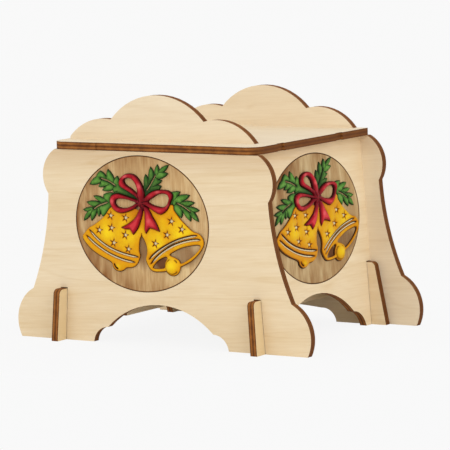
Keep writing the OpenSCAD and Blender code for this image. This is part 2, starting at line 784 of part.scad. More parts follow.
// A cylinder along X, centred on x
module along_x(x, w, r, clear = 0) {
    translate([x - w / 2, hinge_y, hinge_z]) rotate([0, 90, 0]) cylinder(r = r + clear, h = w, $fn = 32);
}

// A countersunk screw along -Y with its head flush at y
module screw(x, y, z, len, clear = 0) {
    translate([x, y, z]) rotate([90, 0, 0]) {
        cylinder(r = screw_r + clear, h = len + clear, $fn = 24);
        cylinder(r1 = screw_head_r + clear, r2 = screw_r + clear, h = head_h + clear, $fn = 24);
    }
}

module body_screws(clear = 0) {
    from_front() for (side = [-1, 1]) for (k = [-0.5, 0.5])
        screw(side * hinge_x + k * screw_pitch, box_d + leaf_metal, body_screw_z, 1.6 * ply, clear);
}

module lid_screws(clear = 0) {
    from_front() for (side = [-1, 1]) for (k = [-0.5, 0.5])
        screw(side * hinge_x + k * screw_pitch, lid_d + leaf_metal, lid_screw_z, ply, clear);
}

module body_leaf(side) {
    x = side * hinge_x;
    mid_w = knuckle_share * hinge_w;
    end_w = (hinge_w - mid_w) / 2 - knuckle_gap;
    color(brass) difference() {
        from_front() difference() {
            union() {
                translate([x - hinge_w / 2, box_d, hinge_z - hinge_leaf_drop])
                    cube([hinge_w, leaf_metal, hinge_leaf_drop]);
                for (s = [-1, 1]) along_x(x + s * (hinge_w - end_w) / 2, end_w, knuckle_r);
            }
            translate([x - mid_w / 2 - knuckle_gap, box_d - eps, hinge_z - knuckle_r - knuckle_gap])
                cube([mid_w + 2 * knuckle_gap, 3 * knuckle_r, 3 * knuckle_r]);
            along_x(x, 2 * hinge_w, pin_r, pin_gap);
        }
        body_screws(pin_gap);
    }
}

module lid_leaf(side) {
    x = side * hinge_x;
    mid_w = knuckle_share * hinge_w;
    web_z = hinge_z + knuckle_r - leaf_metal;
    color(brass) difference() {
        from_front() difference() {
            union() {
                translate([x - hinge_w / 2, lid_d, web_z])
                    cube([hinge_w, leaf_metal, lid_top + hinge_leaf_rise - web_z]);
                translate([x - mid_w / 2, lid_d, web_z]) cube([mid_w, hinge_y - lid_d, leaf_metal]);
                along_x(x, mid_w, knuckle_r);
            }
            along_x(x, 2 * hinge_w, pin_r, pin_gap);
        }
        lid_screws(pin_gap);
    }
}

module hinge_left_body_leaf() {
    body_leaf(-1);
}

module hinge_right_body_leaf() {
    body_leaf(1);
}

module hinge_left_lid_leaf() {
    lid_leaf(-1);
}

module hinge_right_lid_leaf() {
    lid_leaf(1);
}

module hinge_pins() {
    color(steel) from_front() for (side = [-1, 1]) along_x(side * hinge_x, hinge_w + 0.6, pin_r);
}

module hinge_body_screws() {
    color(brass) body_screws();
}

module hinge_lid_screws() {
    color(brass) lid_screws();
}

// ---- Jack ----------------------------------------------------------------------------------

module at_jack(z) {
    from_front() translate([0, jack_y, z]) children();
}

// Closed turns at both ends of the coil, an even pitch between them
closed_rise = 2 * wire_r;
coil_low = coil_z + wire_r + seat_gap;
coil_high = top_z - wire_r - seat_gap;
coil_sides = 8;
coil_rings = 24;

function coil_rise(t) =
    let (open_rise = (coil_high - coil_low - 2 * closed_rise) / (coil_turns - 2))
    t < 1 ? t * closed_rise :
    t < coil_turns - 1 ? closed_rise + (t - 1) * open_rise :
    coil_high - coil_low - (coil_turns - t) * closed_rise;

coil_points = [for (i = [0:coil_turns * coil_rings]) for (k = [0:coil_sides - 1])
    let (t = i / coil_rings, r = coil_r + wire_r * cos(360 * k / coil_sides))
    [r * cos(360 * t), r * sin(360 * t),
     coil_low + coil_rise(t) + wire_r * sin(360 * k / coil_sides)]];
coil_last = coil_turns * coil_rings * coil_sides;
coil_faces = concat([[for (k = [0:coil_sides - 1]) k]],
    [[for (k = [coil_sides - 1:-1:0]) coil_last + k]],
    [for (i = [0:coil_turns * coil_rings - 1]) for (k = [0:coil_sides - 1])
        let (a = i * coil_sides + k, b = i * coil_sides + (k + 1) % coil_sides)
        [a, a + coil_sides, b + coil_sides, b]]);

module coil_spring() {
    color(steel) at_jack(0) polyhedron(coil_points, coil_faces);
}

module spring_base() {
    boss_r = coil_r - wire_r - boss_gap;
    color(stained) at_jack(floor_top) rotate_extrude($fn = 64)
        polygon(outline([[0, 0], [sleeve_r, 0], [sleeve_r, base_t - 1], [sleeve_r - 1, base_t],
            [boss_r, base_t], [boss_r, base_t + boss_h], [0, base_t + boss_h]]));
}

module spring_top() {
    boss_r = coil_r - wire_r - boss_gap;
    color(stained) at_jack(top_z) rotate_extrude($fn = 64)
        polygon([[0, -boss_h], [boss_r, -boss_h], [boss_r, 0], [sleeve_r - 1, 0], [sleeve_r, 1],
            [sleeve_r, top_t], [0, top_t]]);
}

// Pleated cloth, wide at the two discs and at every fold between them
module spring_sleeve() {
    inner = coil_r + wire_r + sleeve_clear;
    outer = sleeve_r - sleeve_in;
    low = coil_z + seat_gap;
    pitch = (coil_h - 2 * seat_gap) / pleats;
    color(crimson) at_jack(low) rotate_extrude($fn = 64)
        polygon(concat(
            [for (i = [0:2 * pleats]) [i % 2 == 0 ? outer : inner + cloth_t, i * pitch / 2]],
            [for (i = [2 * pleats:-1:0]) [i % 2 == 0 ? outer - cloth_t : inner, i * pitch / 2]]));
}

module torso_form(grow = 0) {
    rotate_extrude($fn = 64)
        polygon(outline([[0, 0], [torso_r + grow, 0, -torso_bulge], [neck_r + 1 + grow, torso_h],
            [neck_r + grow, torso_h], [neck_r + grow, torso_h + neck_h], [0, torso_h + neck_h]]));
}

module torso() {
    color(green) at_jack(torso_z) torso_form();
}

module torso_buttons() {
    flank = arc([torso_r, 0], [neck_r + 1, torso_h], -torso_bulge, 8);
    color(yellow) difference() {
        at_jack(torso_z) for (k = [2, 5]) translate([0, -flank[k][0], flank[k][1]])
            sphere(button_r, $fn = 32);
        at_jack(torso_z) torso_form(seat_gap / 2);
    }
}

arm_path = [[10.5, 0, 9.4], [17, -2, 5.5], [15.6, -9.5, 3.4]];

module arms() {
    color(green) difference() {
        for (side = [-1, 1]) at_jack(torso_z) for (i = [0:1]) hull() for (p = [arm_path[i], arm_path[i + 1]])
            translate([side * p[0], p[1], p[2]]) sphere(arm_r, $fn = 16);
        at_jack(torso_z) torso_form(seat_gap / 2);
        hand_balls(seat_gap);
    }
}

module hand_balls(grow = 0) {
    wrist = arm_path[2];
    for (side = [-1, 1]) at_jack(torso_z) translate([side * wrist[0], wrist[1] - hand_reach, wrist[2]])
        sphere(hand_r + grow, $fn = 32);
}

module hands() {
    color(cream) difference() {
        hand_balls();
        at_jack(torso_z) torso_form(seat_gap);
    }
}

module ruff() {
    wave = 1.1;
    color(cream) at_jack(neck_z + seat_gap) difference() {
        linear_extrude(ruff_t) polygon([for (i = [0:8 * ruff_folds - 1])
            let (a = 360 * i / (8 * ruff_folds), r = ruff_r - wave + wave * cos(ruff_folds * a))
            r * [cos(a), sin(a)]]);
        translate([0, 0, -eps]) cylinder(r = neck_r + seat_gap, h = ruff_t + 2 * eps, $fn = 48);
    }
}

module head_form(grow = 0) {
    intersection() {
        sphere(head_r + grow, $fn = 64);
        translate([0, 0, neck_z + neck_h - head_z - grow])
            cylinder(r = 2 * head_r, h = 3 * head_r, $fn = 64);
    }
}

module head() {
    color(cream) at_jack(head_z) difference() {
        head_form();
        rotate([90, 0, 0]) translate([0, 0, head_r - nose_peg_l - seat_gap])
            cylinder(r = nose_peg_r + pin_gap, h = 2 * nose_peg_l, $fn = 24);
    }
}

module nose() {
    flat = 0.5 * nose_r;
    rim = sqrt(nose_r * nose_r - flat * flat);
    color(crimson) at_jack(head_z) rotate([90, 0, 0]) translate([0, 0, head_r])
        rotate_extrude($fn = 32) polygon(concat([[0, -nose_peg_l], [nose_peg_r, -nose_peg_l],
            [nose_peg_r, seat_gap]], arc([rim, seat_gap], [0, seat_gap + nose_r + flat],
            nose_r * (1 - cos(60)) * -1, 10), [[0, seat_gap + nose_r + flat]]));
}

module cap() {
    low = cap_rim_z - head_z;
    color(crimson) at_jack(head_z) difference() {
        union() {
            intersection() {
                sphere(head_r + cap_t, $fn = 64);
                translate([0, 0, low]) cylinder(r = 2 * head_r, h = 2 * head_r, $fn = 64);
            }
            for (side = [-1, 1]) horn(side);
        }
        sphere(head_r + seat_gap / 2, $fn = 64);
        cap_bell_balls(seat_gap);
    }
}

// One point of the cap, a bent roll that leans out and hangs down to its bell
module horn(side) {
    translate([side * horn_x, 0, horn_z - head_z]) rotate([90, 0, side > 0 ? 0 : 180])
        rotate_extrude(angle = 150, $fn = 64) translate([horn_sweep_r, 0]) circle(horn_r, $fn = 32);
}

module cap_bell_balls(grow = 0) {
    for (side = [-1, 1]) translate([side * (horn_x + horn_sweep_r), 0, horn_z - head_z - cap_bell_r])
        sphere(cap_bell_r + grow, $fn = 32);
}

module cap_bells() {
    color(brass) at_jack(head_z) difference() {
        cap_bell_balls();
        sphere(head_r + cap_t + seat_gap, $fn = 64);
    }
}

front_panel();
back_panel();
back_cross_wall();
left_wall();
right_wall();
floor_board();
floor_rail_left();
floor_rail_right();
front_disc();
front_leaves();
front_bell_backs();
front_bells();
front_bow();
front_backing();
right_disc();
right_leaves();
right_bell_backs();
right_bells();
right_bow();
right_backing();
back_disc();
back_leaves();
back_bell_backs();
back_bells();
back_bow();
left_disc();
left_leaves();
left_bell_backs();
left_bells();
left_bow();
left_backing();
lid_plate();
front_crest();
back_crest();
catch_block();
catch_magnet();
lid_keeper();
hinge_left_body_leaf();
hinge_right_body_leaf();
hinge_left_lid_leaf();
hinge_right_lid_leaf();
hinge_pins();
hinge_body_screws();
hinge_lid_screws();
spring_base();
coil_spring();
spring_sleeve();
spring_top();
torso();
torso_buttons();
arms();
hands();
ruff();
head();
nose();
cap();
cap_bells();
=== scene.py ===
# %% [markdown]
# # Jack in the box of laser-cut plywood
# The toy is a box of 4 mm birch plywood with splayed side walls. Two waisted end panels
# stand in front and behind, and a crested lid turns on brass hinges at the back. Each of
# the four sides carries an inlaid oval with painted bells, a bow and leaves. Inside waits
# a turned wooden figure on a coil spring with a cloth sleeve.
# The wooden parts come ready-made as a fixed frame. This lesson gives them their finishes,
# models the paint relief and the soft parts, and sets up the camera and the lights.

import math

import bmesh
import bpy
import numpy as np
from mathutils import Matrix, Vector
from mathutils.geometry import delaunay_2d_cdt


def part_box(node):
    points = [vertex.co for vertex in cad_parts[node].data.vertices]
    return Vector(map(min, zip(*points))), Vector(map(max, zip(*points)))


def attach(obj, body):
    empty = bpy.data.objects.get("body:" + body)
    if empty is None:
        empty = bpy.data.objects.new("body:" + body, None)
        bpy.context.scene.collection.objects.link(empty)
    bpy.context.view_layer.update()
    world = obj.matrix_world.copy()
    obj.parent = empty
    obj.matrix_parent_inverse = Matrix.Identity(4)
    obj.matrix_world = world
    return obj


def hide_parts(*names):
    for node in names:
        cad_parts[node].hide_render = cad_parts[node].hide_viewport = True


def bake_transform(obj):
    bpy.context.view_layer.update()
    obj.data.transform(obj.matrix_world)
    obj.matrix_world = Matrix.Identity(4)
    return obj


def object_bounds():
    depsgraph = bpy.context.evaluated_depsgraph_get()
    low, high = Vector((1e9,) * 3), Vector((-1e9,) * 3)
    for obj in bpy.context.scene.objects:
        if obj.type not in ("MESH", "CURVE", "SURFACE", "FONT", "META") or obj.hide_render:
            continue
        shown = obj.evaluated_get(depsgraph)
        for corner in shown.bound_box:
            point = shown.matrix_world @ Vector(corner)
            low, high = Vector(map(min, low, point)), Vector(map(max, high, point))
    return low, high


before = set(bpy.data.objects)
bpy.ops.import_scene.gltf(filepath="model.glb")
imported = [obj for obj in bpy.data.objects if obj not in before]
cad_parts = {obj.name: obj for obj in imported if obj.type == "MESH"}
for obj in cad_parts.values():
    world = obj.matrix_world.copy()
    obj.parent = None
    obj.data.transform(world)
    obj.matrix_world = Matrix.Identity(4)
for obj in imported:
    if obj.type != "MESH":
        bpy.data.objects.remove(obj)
cad_low, cad_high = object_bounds()
scene = bpy.context.scene
MM = 0.001
front_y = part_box("front_panel")[0].y
print("nodes:", len(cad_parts), "size in mm:", [round(s / MM, 1) for s in cad_high - cad_low])

# %% [markdown]
# ## Camera
# A product shot of a small toy is taken from a distance with a long lens, so that upright
# edges stay nearly upright. The place is given as a turn round the box, a height angle and
# a distance from the foot of the front panel. The picture is square, so the aim is found
# from where that foot should appear: the camera first looks straight at it and then turns
# by the small angle that moves it to its place in the picture.

# %% Camera
PICTURE_PX = 450
LENS_PX = 3033.7
SENSOR_MM = 36.0
VIEW_TURN = math.radians(35.0)
VIEW_HEIGHT = math.radians(9.24)
VIEW_ROLL = math.radians(2.0)
VIEW_DISTANCE = 1.597
FOOT_PX = (160.6, 346.45)


def camera_axes(turn, height, roll):
    """Right, up and backward directions of a camera that looks at the foot."""
    right = Vector((math.cos(turn), math.sin(turn), 0))
    back = Vector((math.sin(turn) * math.cos(height), -math.cos(turn) * math.cos(height), math.sin(height)))
    up = back.cross(right)
    return (
        right * math.cos(roll) - up * math.sin(roll),
        right * math.sin(roll) + up * math.cos(roll),
        back,
    )


def make_camera():
    foot = Vector((0, front_y, 0))
    right, up, back = camera_axes(VIEW_TURN, VIEW_HEIGHT, VIEW_ROLL)
    straight = Matrix((right, up, back)).transposed()
    half = PICTURE_PX / 2
    toward_foot = Vector((FOOT_PX[0] - half, half - FOOT_PX[1], -LENS_PX)).normalized()
    turn = Vector((0, 0, -1)).rotation_difference(toward_foot).to_matrix()
    camera = bpy.data.objects.new("camera", bpy.data.cameras.new("camera"))
    camera.data.sensor_width = SENSOR_MM
    camera.data.lens = LENS_PX / PICTURE_PX * SENSOR_MM
    camera.data.clip_end = 20
    camera.matrix_world = Matrix.Translation(foot + back * VIEW_DISTANCE) @ (
        straight @ turn.transposed()
    ).to_4x4()
    scene.collection.objects.link(camera)
    scene.camera = camera
    return camera


camera = make_camera()
print("lens in mm:", round(camera.data.lens, 1))

# %% [markdown]
# ## Writing finishes
# A finish is a tree of nodes. The helper below lets it be written like a sum: each method
# adds one node, feeds it with numbers or with the outputs of other nodes, and gives back
# its output. *coats* lays one colour after the other over a first one, each where its own
# mask says.

# %% Helper for node trees
class Nodes:
    """A node tree, written by the outputs of its nodes."""

    def __init__(self, tree):
        self.tree = tree

    def feed(self, socket, value):
        if isinstance(value, bpy.types.NodeSocket):
            self.tree.links.new(value, socket)
        else:
            socket.default_value = value

    def add(self, kind, **values):
        """A node, with settings by name, and with sockets by label."""
        made = self.tree.nodes.new(kind)
        for name, value in values.items():
            socket = made.inputs.get(name.replace("_", " "))
            if socket is None:
                setattr(made, name, value)
            else:
                self.feed(socket, value)
        return made

    def in_order(self, kind, terms, **values):
        made = self.add(kind, **values)
        for socket, term in zip(made.inputs, terms):
            self.feed(socket, term)
        return made.outputs

    def math(self, operation, *terms, clamp=False):
        return self.in_order("ShaderNodeMath", terms, operation=operation, use_clamp=clamp)[0]

    def vector(self, operation, *terms):
        single = operation in ("DOT_PRODUCT", "LENGTH", "DISTANCE")
        made = self.in_order("ShaderNodeVectorMath", terms, operation=operation)
        return made["Value" if single else "Vector"]

    def ramp(self, value, low, high, to_low=0.0, to_high=1.0, **values):
        """Low to high turned into to_low to to_high, and held beyond them."""
        ends = {"From_Min": low, "From_Max": high, "To_Min": to_low, "To_Max": to_high}
        return self.add("ShaderNodeMapRange", Value=value, **ends, **values).outputs[0]

    def mix(self, share, first, second, blend="MIX"):
        kinds = {"data_type": "RGBA", "blend_type": blend}
        return self.add("ShaderNodeMix", **kinds, Factor=share, A=first, B=second).outputs["Result"]

    def mix_values(self, share, first, second):
        return self.add("ShaderNodeMix", data_type="FLOAT", Factor=share, A=first, B=second).outputs[0]

    def coats(self, colour, layers):
        for mask, cover in layers:
            colour = self.mix(mask, colour, cover)
        return colour

    def tinted(self, colour, tint):
        return self.mix(1.0, colour, (*tint, 1), "MULTIPLY")

    def place(self, kind="Object"):
        return self.add("ShaderNodeTexCoord").outputs[kind]

    def parts(self, vector):
        return self.add("ShaderNodeSeparateXYZ", Vector=vector).outputs

    def noise(self, place, scale, **values):
        return self.add("ShaderNodeTexNoise", Vector=place, Scale=scale, **values).outputs[0]

    def stored(self, name, kind="Fac"):
        """What a mesh keeps under this name."""
        return self.add("ShaderNodeAttribute", attribute_name=name).outputs[kind]

    def effect(self, name, **values):
        """The outputs of a shared effect."""
        return self.add("ShaderNodeGroup", node_tree=bpy.data.node_groups[name], **values).outputs

    def bumped(self, height, strength, distance):
        bump = self.add("ShaderNodeBump", Strength=strength, Distance=distance, Height=height)
        return bump.outputs[0]

    def surface(self, **values):
        made = self.add("ShaderNodeBsdfPrincipled", **values).outputs[0]
        self.add("ShaderNodeOutputMaterial", Surface=made)


def emptied(holder):
    """The cleared node tree of a material or a world."""
    holder.use_nodes = True
    holder.node_tree.nodes.clear()
    return Nodes(holder.node_tree)


def new_material(name):
    material = bpy.data.materials.new(name)
    return material, emptied(material)


def rgb(red, green, blue):
    """A colour given as it looks on a screen, 0 to 255, turned into linear light."""

    def straight(value):
        value /= 255
        return value / 12.92 if value <= 0.04045 else ((value + 0.055) / 1.055) ** 2.4

    return (straight(red), straight(green), straight(blue), 1)


print("mid grey in linear light:", round(rgb(128, 128, 128)[0], 3))

# %% [markdown]
# ## Floor, backdrop and light
# The toy stands on a plain pale floor. Everything the camera sees behind it should be an
# even near-white, which a lit floor never is, so the floor and the world show one constant
# colour to camera, mirror and glass rays, while every other ray sees an ordinary pale
# surface. The floor mixes in the shadow by letting the plain surface through near the toy.
# Two big soft lamps and a pale world light the wood evenly: a key lamp in front on the
# left, and a weak fill on the right.

# %% Floor, world and lamps
BACKDROP = (0.945, 0.945, 0.945, 1)
FLOOR_COLOUR = (0.9, 0.9, 0.9, 1)
SKY_COLOUR = (1.0, 0.99, 0.975, 1)
LAMP_COLOUR = (1.0, 0.99, 0.97)
LAMP_SIZE = 0.8
FLOOR_HALF = 3.0
SHADOW_REACH = 0.16
LEAST_BACKDROP = 0.94


def seen_directly(nodes):
    """1 for camera, mirror and glass rays, 0 for light that bounces."""
    path = nodes.add("ShaderNodeLightPath").outputs
    first = nodes.math("MAXIMUM", path["Is Camera Ray"], path["Is Glossy Ray"])
    return nodes.math("MAXIMUM", first, path["Is Transmission Ray"])


def make_floor():
    material, nodes = new_material("floor")
    plain = nodes.add("ShaderNodeBsdfDiffuse", Color=FLOOR_COLOUR).outputs[0]
    even = nodes.add("ShaderNodeEmission", Color=BACKDROP).outputs[0]
    reach = nodes.vector("LENGTH", nodes.place())
    fade = nodes.ramp(reach, SHADOW_REACH * 0.4, SHADOW_REACH, LEAST_BACKDROP)
    seen = nodes.math("MULTIPLY", fade, seen_directly(nodes))
    both = nodes.in_order("ShaderNodeMixShader", (seen, plain, even))[0]
    nodes.add("ShaderNodeOutputMaterial", Surface=both)
    mesh = bpy.data.meshes.new("floor")
    corners = [(-1, -1), (1, -1), (1, 1), (-1, 1)]
    mesh.from_pydata([(x * FLOOR_HALF, y * FLOOR_HALF, 0) for x, y in corners], [], [(0, 1, 2, 3)])
    mesh.materials.append(material)
    floor = bpy.data.objects.new("floor", mesh)
    scene.collection.objects.link(floor)


def make_world():
    scene.world = bpy.data.worlds.new("studio")
    nodes = emptied(scene.world)
    ambient = nodes.add("ShaderNodeBackground", Color=SKY_COLOUR, Strength=0.8).outputs[0]
    even = nodes.add("ShaderNodeBackground", Color=BACKDROP).outputs[0]
    both = nodes.in_order("ShaderNodeMixShader", (seen_directly(nodes), ambient, even))[0]
    nodes.add("ShaderNodeOutputWorld", Surface=both)


def lamp(name, place, power):
    data = bpy.data.lights.new(name, "AREA")
    data.shape = "SQUARE"
    data.size = LAMP_SIZE
    data.energy = power
    data.color = LAMP_COLOUR
    light = bpy.data.objects.new(name, data)
    light.location = place
    aim = (cad_low + cad_high) / 2 - Vector(place)
    light.rotation_euler = aim.to_track_quat("-Z", "Y").to_euler()
    scene.collection.objects.link(light)


make_floor()
make_world()
lamp("key", (-0.55, -1.0, 0.85), 2.7)
lamp("fill", (1.0, -0.45, 0.6), 4.4)
scene.view_settings.view_transform = "Standard"

# %% [markdown]
# ## Shared shading effects
# Three effects come back in several finishes, so each is a node group with named inputs.
# *Grain* stretches noise along the length of the fibres and mixes two wood tones with it.
# Where asked, thin growth rings follow the level lines of a broader noise.
# *Sheet edge* tells the flat faces of a sheet from its cut edges by comparing the surface
# normal with the sheet's own direction, and colours the burnt edge in the layers of the
# plywood. Edges that face right, away from the key lamp, get a darker brown as painted shade.
# *Blotch* is a soft, even variation that keeps paint and cloth from looking flat.

# %% Node groups
SOCKETS = {"value": "NodeSocketFloat", "vector": "NodeSocketVector", "colour": "NodeSocketColor"}


def group(name, outputs, **inputs):
    """A shader node group. A default of 3 numbers asks for a vector, one of 4 for a colour."""
    tree = bpy.data.node_groups.new(name, "ShaderNodeTree")
    for label, default in inputs.items():
        kind = "value" if isinstance(default, float) else {3: "vector", 4: "colour"}[len(default)]
        spoken = label.replace("_", " ")
        socket = tree.interface.new_socket(spoken, in_out="INPUT", socket_type=SOCKETS[kind])
        socket.default_value = default
    for label, kind in outputs.items():
        tree.interface.new_socket(label, in_out="OUTPUT", socket_type=SOCKETS[kind])
    nodes = Nodes(tree)
    return nodes, nodes.add("NodeGroupInput").outputs


def make_grain_group():
    nodes, into = group(
        "grain",
        {"Colour": "colour", "Height": "value"},
        Scale=(14, 160, 160),
        Light=(0.8, 0.66, 0.44, 1),
        Dark=(0.7, 0.52, 0.3, 1),
        Shift=0.0,
        Fine_share=0.35,
        Ring_lines=0.0,
        Slant=(0, 0, 0),
    )
    slanted = nodes.add(
        "ShaderNodeVectorRotate", rotation_type="EULER_XYZ", Vector=nodes.place(), Rotation=into["Slant"]
    )
    stretched = nodes.vector("MULTIPLY", slanted.outputs[0], into["Scale"])

    def streaks(scale, detail, low, high):
        more = {"Detail": detail, "Roughness": 0.6, "Distortion": 0.5 / scale}
        made = nodes.noise(stretched, scale, noise_dimensions="4D", W=into["Shift"], **more)
        return nodes.ramp(made, low, high)

    broad, fine = streaks(1.0, 4.0, 0.3, 0.72), streaks(8.0, 3.0, 0.3, 0.7)
    both = nodes.mix_values(into["Fine share"], broad, fine)
    level = nodes.math("PINGPONG", streaks(0.4, 1.0, 0.0, 1.0), 0.085)
    rings = nodes.math("MULTIPLY", nodes.ramp(level, 0.016, 0.0), into["Ring lines"])
    lined = nodes.math("SUBTRACT", both, rings, clamp=True)
    nodes.add("NodeGroupOutput", Colour=nodes.mix(lined, into["Dark"], into["Light"]), Height=both)


def make_sheet_edge_group():
    nodes, into = group(
        "sheet edge",
        {"Colour": "colour", "Edge": "value"},
        Sheet_direction=(0, 1, 0),
        Start=0.0,
        Ply=0.00133,
        Face_colour=(0.8, 0.66, 0.44, 1),
        Burnt=(0.19, 0.085, 0.025, 1),
        Toasted=(0.36, 0.19, 0.07, 1),
    )
    normal, place = nodes.place("Normal"), nodes.place()
    facing = nodes.math("ABSOLUTE", nodes.vector("DOT_PRODUCT", normal, into["Sheet direction"]))
    edge = nodes.ramp(facing, 0.93, 0.8)
    depth = nodes.vector("DOT_PRODUCT", place, into["Sheet direction"])
    plies = nodes.math("DIVIDE", nodes.math("SUBTRACT", depth, into["Start"]), into["Ply"])
    layers = nodes.math("PINGPONG", plies, 1.0)
    patches = nodes.noise(place, 240.0, Detail=4.0, Roughness=0.65)
    toast = nodes.ramp(nodes.mix_values(0.6, layers, patches), 0.35, 0.75)
    burnt = nodes.mix(toast, into["Burnt"], into["Toasted"])
    # Painted shade: edges that face right, away from the key lamp, turn darker.
    rightward = nodes.vector("DOT_PRODUCT", normal, (1, 0, 0))
    right_edge_shade = nodes.mix(nodes.ramp(rightward, 0.3, 1.0, 0.0, 0.75), burnt, into["Burnt"])
    nodes.add("NodeGroupOutput", Colour=nodes.mix(edge, into["Face colour"], right_edge_shade), Edge=edge)


def make_blotch_group():
    greys = {"Low": (0.5, 0.5, 0.5, 1), "High": (0.6, 0.6, 0.6, 1)}
    nodes, into = group("blotch", {"Colour": "colour"}, Scale=60.0, Detail=3.0, **greys)
    clouds = nodes.noise(nodes.place(), into["Scale"], Detail=into["Detail"], Roughness=0.6)
    colour = nodes.mix(nodes.ramp(clouds, 0.3, 0.7), into["Low"], into["High"])
    nodes.add("NodeGroupOutput", Colour=colour)


make_grain_group()
make_sheet_edge_group()
make_blotch_group()
print("groups:", [g.name for g in bpy.data.node_groups])

# %% [markdown]
# ## Plywood
# Every panel is cut from birch plywood by a laser: pale satin faces with faint grain, and
# brown scorched edges that show the layers. The panels keep their ready-made meshes, and
# the shader finds the cut edges by itself. Each panel gets a finish of its own, which knows
# the direction of its sheet and where its outer face lies, and has its own piece of grain.
# A haze is an even change of tone: a painted shadow under the lid, and painted shade on
# the ends of the walls that come through the slots.

# %% Plywood finishes
BIRCH = rgb(238, 220, 189), rgb(222, 197, 156)
PALER_BIRCH = rgb(240, 225, 198), rgb(226, 206, 174)
BURNT = rgb(92, 50, 16)
TOASTED = rgb(162, 102, 44)
LID_SHADOW_TONE = rgb(176, 132, 82)
STUB_SHADE_TONE = rgb(214, 188, 138)
PLY_LAYER = 1 * MM
BOX_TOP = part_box("front_panel")[1].z
# Painted shadow of the lid: a darker band down from the top of the panels and walls.
LID_SHADOW = (LID_SHADOW_TONE, "Z", BOX_TOP - 15 * MM, BOX_TOP, 0.34)
# Painted shade on the ends of the walls that stand out in front of the front panel.
STUB_SHADE = (STUB_SHADE_TONE, "Y", front_y + 1 * MM, front_y - 1 * MM, 0.6)
SPLAY = math.radians(3.85)
FACINGS = {
    "front": Vector((0, -1, 0)),
    "back": Vector((0, 1, 0)),
    "right": Vector((math.cos(SPLAY), 0, math.sin(SPLAY))),
    "left": Vector((-math.cos(SPLAY), 0, math.sin(SPLAY))),
    "up": Vector((0, 0, 1)),
    "side": Vector((1, 0, 0)),
}
ALONG_X = (6, 120, 120)
ALONG_Y = (120, 6, 120)
GRAIN_SLANT = (0.05, 0.06, 0.04)
PLY_NODES = {
    "front": ["front_panel", "back_cross_wall", "front_backing", "front_crest", "back_crest"],
    "back": ["back_panel"],
    "up": ["lid_plate", "floor_board", "catch_block"],
    "side": ["floor_rail_left", "floor_rail_right"],
    "right": ["right_wall", "right_backing"],
    "left": ["left_wall", "left_backing"],
}
# The back panel gets the paler tones as painted light, lifting its front face out of the box's shade. The
# lid and the crests take the paler tones as well.
PALER_NODES = ("lid_plate", "front_crest", "back_crest", "back_panel")


def plywood(name, facing, start, seed, tones, hazes):
    """start is where the outer face lies along its facing. tones are light and dark. A haze
    is a colour, an axis, where it begins and where it is full, and its strength."""
    material, nodes = new_material(name)
    fibres = ALONG_X if facing in ("front", "back", "up") else ALONG_Y
    shares = {"Fine_share": 0.45, "Ring_lines": 0.28, "Slant": GRAIN_SLANT}
    light, dark = tones
    grain = nodes.effect("grain", Scale=fibres, Light=light, Dark=dark, Shift=seed, **shares)
    parts = nodes.parts(nodes.place())
    layers = []
    for colour, axis, begins, full, strength in hazes:
        smooth = {"interpolation_type": "SMOOTHSTEP"}
        layers.append((nodes.ramp(parts[axis], begins, full, 0.0, strength, **smooth), colour))
    edge = nodes.effect(
        "sheet edge",
        Sheet_direction=FACINGS[facing],
        Start=start,
        Ply=PLY_LAYER,
        Face_colour=nodes.coats(grain["Colour"], layers),
        Burnt=BURNT,
        Toasted=TOASTED,
    )
    nodes.surface(
        Base_Color=edge["Colour"],
        Roughness=nodes.ramp(edge["Edge"], 0.0, 1.0, 0.55, 0.85),
        Specular_IOR_Level=0.25,
        Normal=nodes.bumped(grain["Height"], 0.12, 0.0002),
    )
    return material


def give(material, *names):
    """Puts a finish on ready-made nodes."""
    for name in names:
        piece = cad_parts[name]
        if not piece.material_slots:
            piece.data.materials.append(material)
        for place in piece.material_slots:
            place.link = "OBJECT"
            place.material = material


for facing, names in PLY_NODES.items():
    for seed, name in enumerate(names):
        outer = max(v.co @ FACINGS[facing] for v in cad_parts[name].data.vertices)
        hazes = [LID_SHADOW] if name.endswith(("panel", "wall")) else []
        hazes += [STUB_SHADE] if name.endswith("wall") else []
        tones = PALER_BIRCH if name in PALER_NODES else BIRCH
        give(plywood("ply_" + name, facing, outer, float(seed + len(facing)), tones, hazes), name)
print("plywood finishes:", sum(m.name.startswith("ply_") for m in bpy.data.materials))

# %% [markdown]
# ## Stained medallions
# Each oval is let into a matching hole, stained in warm browns with upright grain, and
# darker in patches toward its rim. Painted shade darkens the wood inside the open bell and
# between the bells. The finish needs to know how far a point lies from the middle of its
# own oval, so it is made once for each side from the oval's place and size.

# %% Place of the medallions
SIDES = ("front", "right", "back", "left")
ART_HALF = Vector((42.3, 35.9))


class Medallion:
    """Place, directions and half sizes of the oval on one side of the box."""

    def __init__(self, side):
        self.out = FACINGS[side]
        self.up = (Vector((0, 0, 1)) - self.out * self.out.z).normalized()
        self.right = self.up.cross(self.out)
        spots = np.array([v.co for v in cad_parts[side + "_disc"].data.vertices])
        wide, tall, deep = (spots @ np.array(d) for d in (self.right, self.up, self.out))
        self.half = Vector(((wide.max() - wide.min()) / 2, (tall.max() - tall.min()) / 2))
        self.middle = (
            self.right * (wide.max() + wide.min()) / 2
            + self.up * (tall.max() + tall.min()) / 2
            + self.out * deep.max()
        )

    def to_art(self, spots):
        """Points as art x and y and height over the oval, in millimetres."""
        shifted = spots - np.array(self.middle)
        x = shifted @ np.array(self.right) * ART_HALF.x / self.half.x
        y = shifted @ np.array(self.up) * ART_HALF.y / self.half.y
        return np.stack([x, y, shifted @ np.array(self.out) / MM], axis=1)

    def place(self, x, y, height):
        """A point of the art, in millimetres, as a place on the box."""
        return (
            self.middle
            + self.right * (x * self.half.x / ART_HALF.x)
            + self.up * (y * self.half.y / ART_HALF.y)
            + self.out * (height * MM)
        )


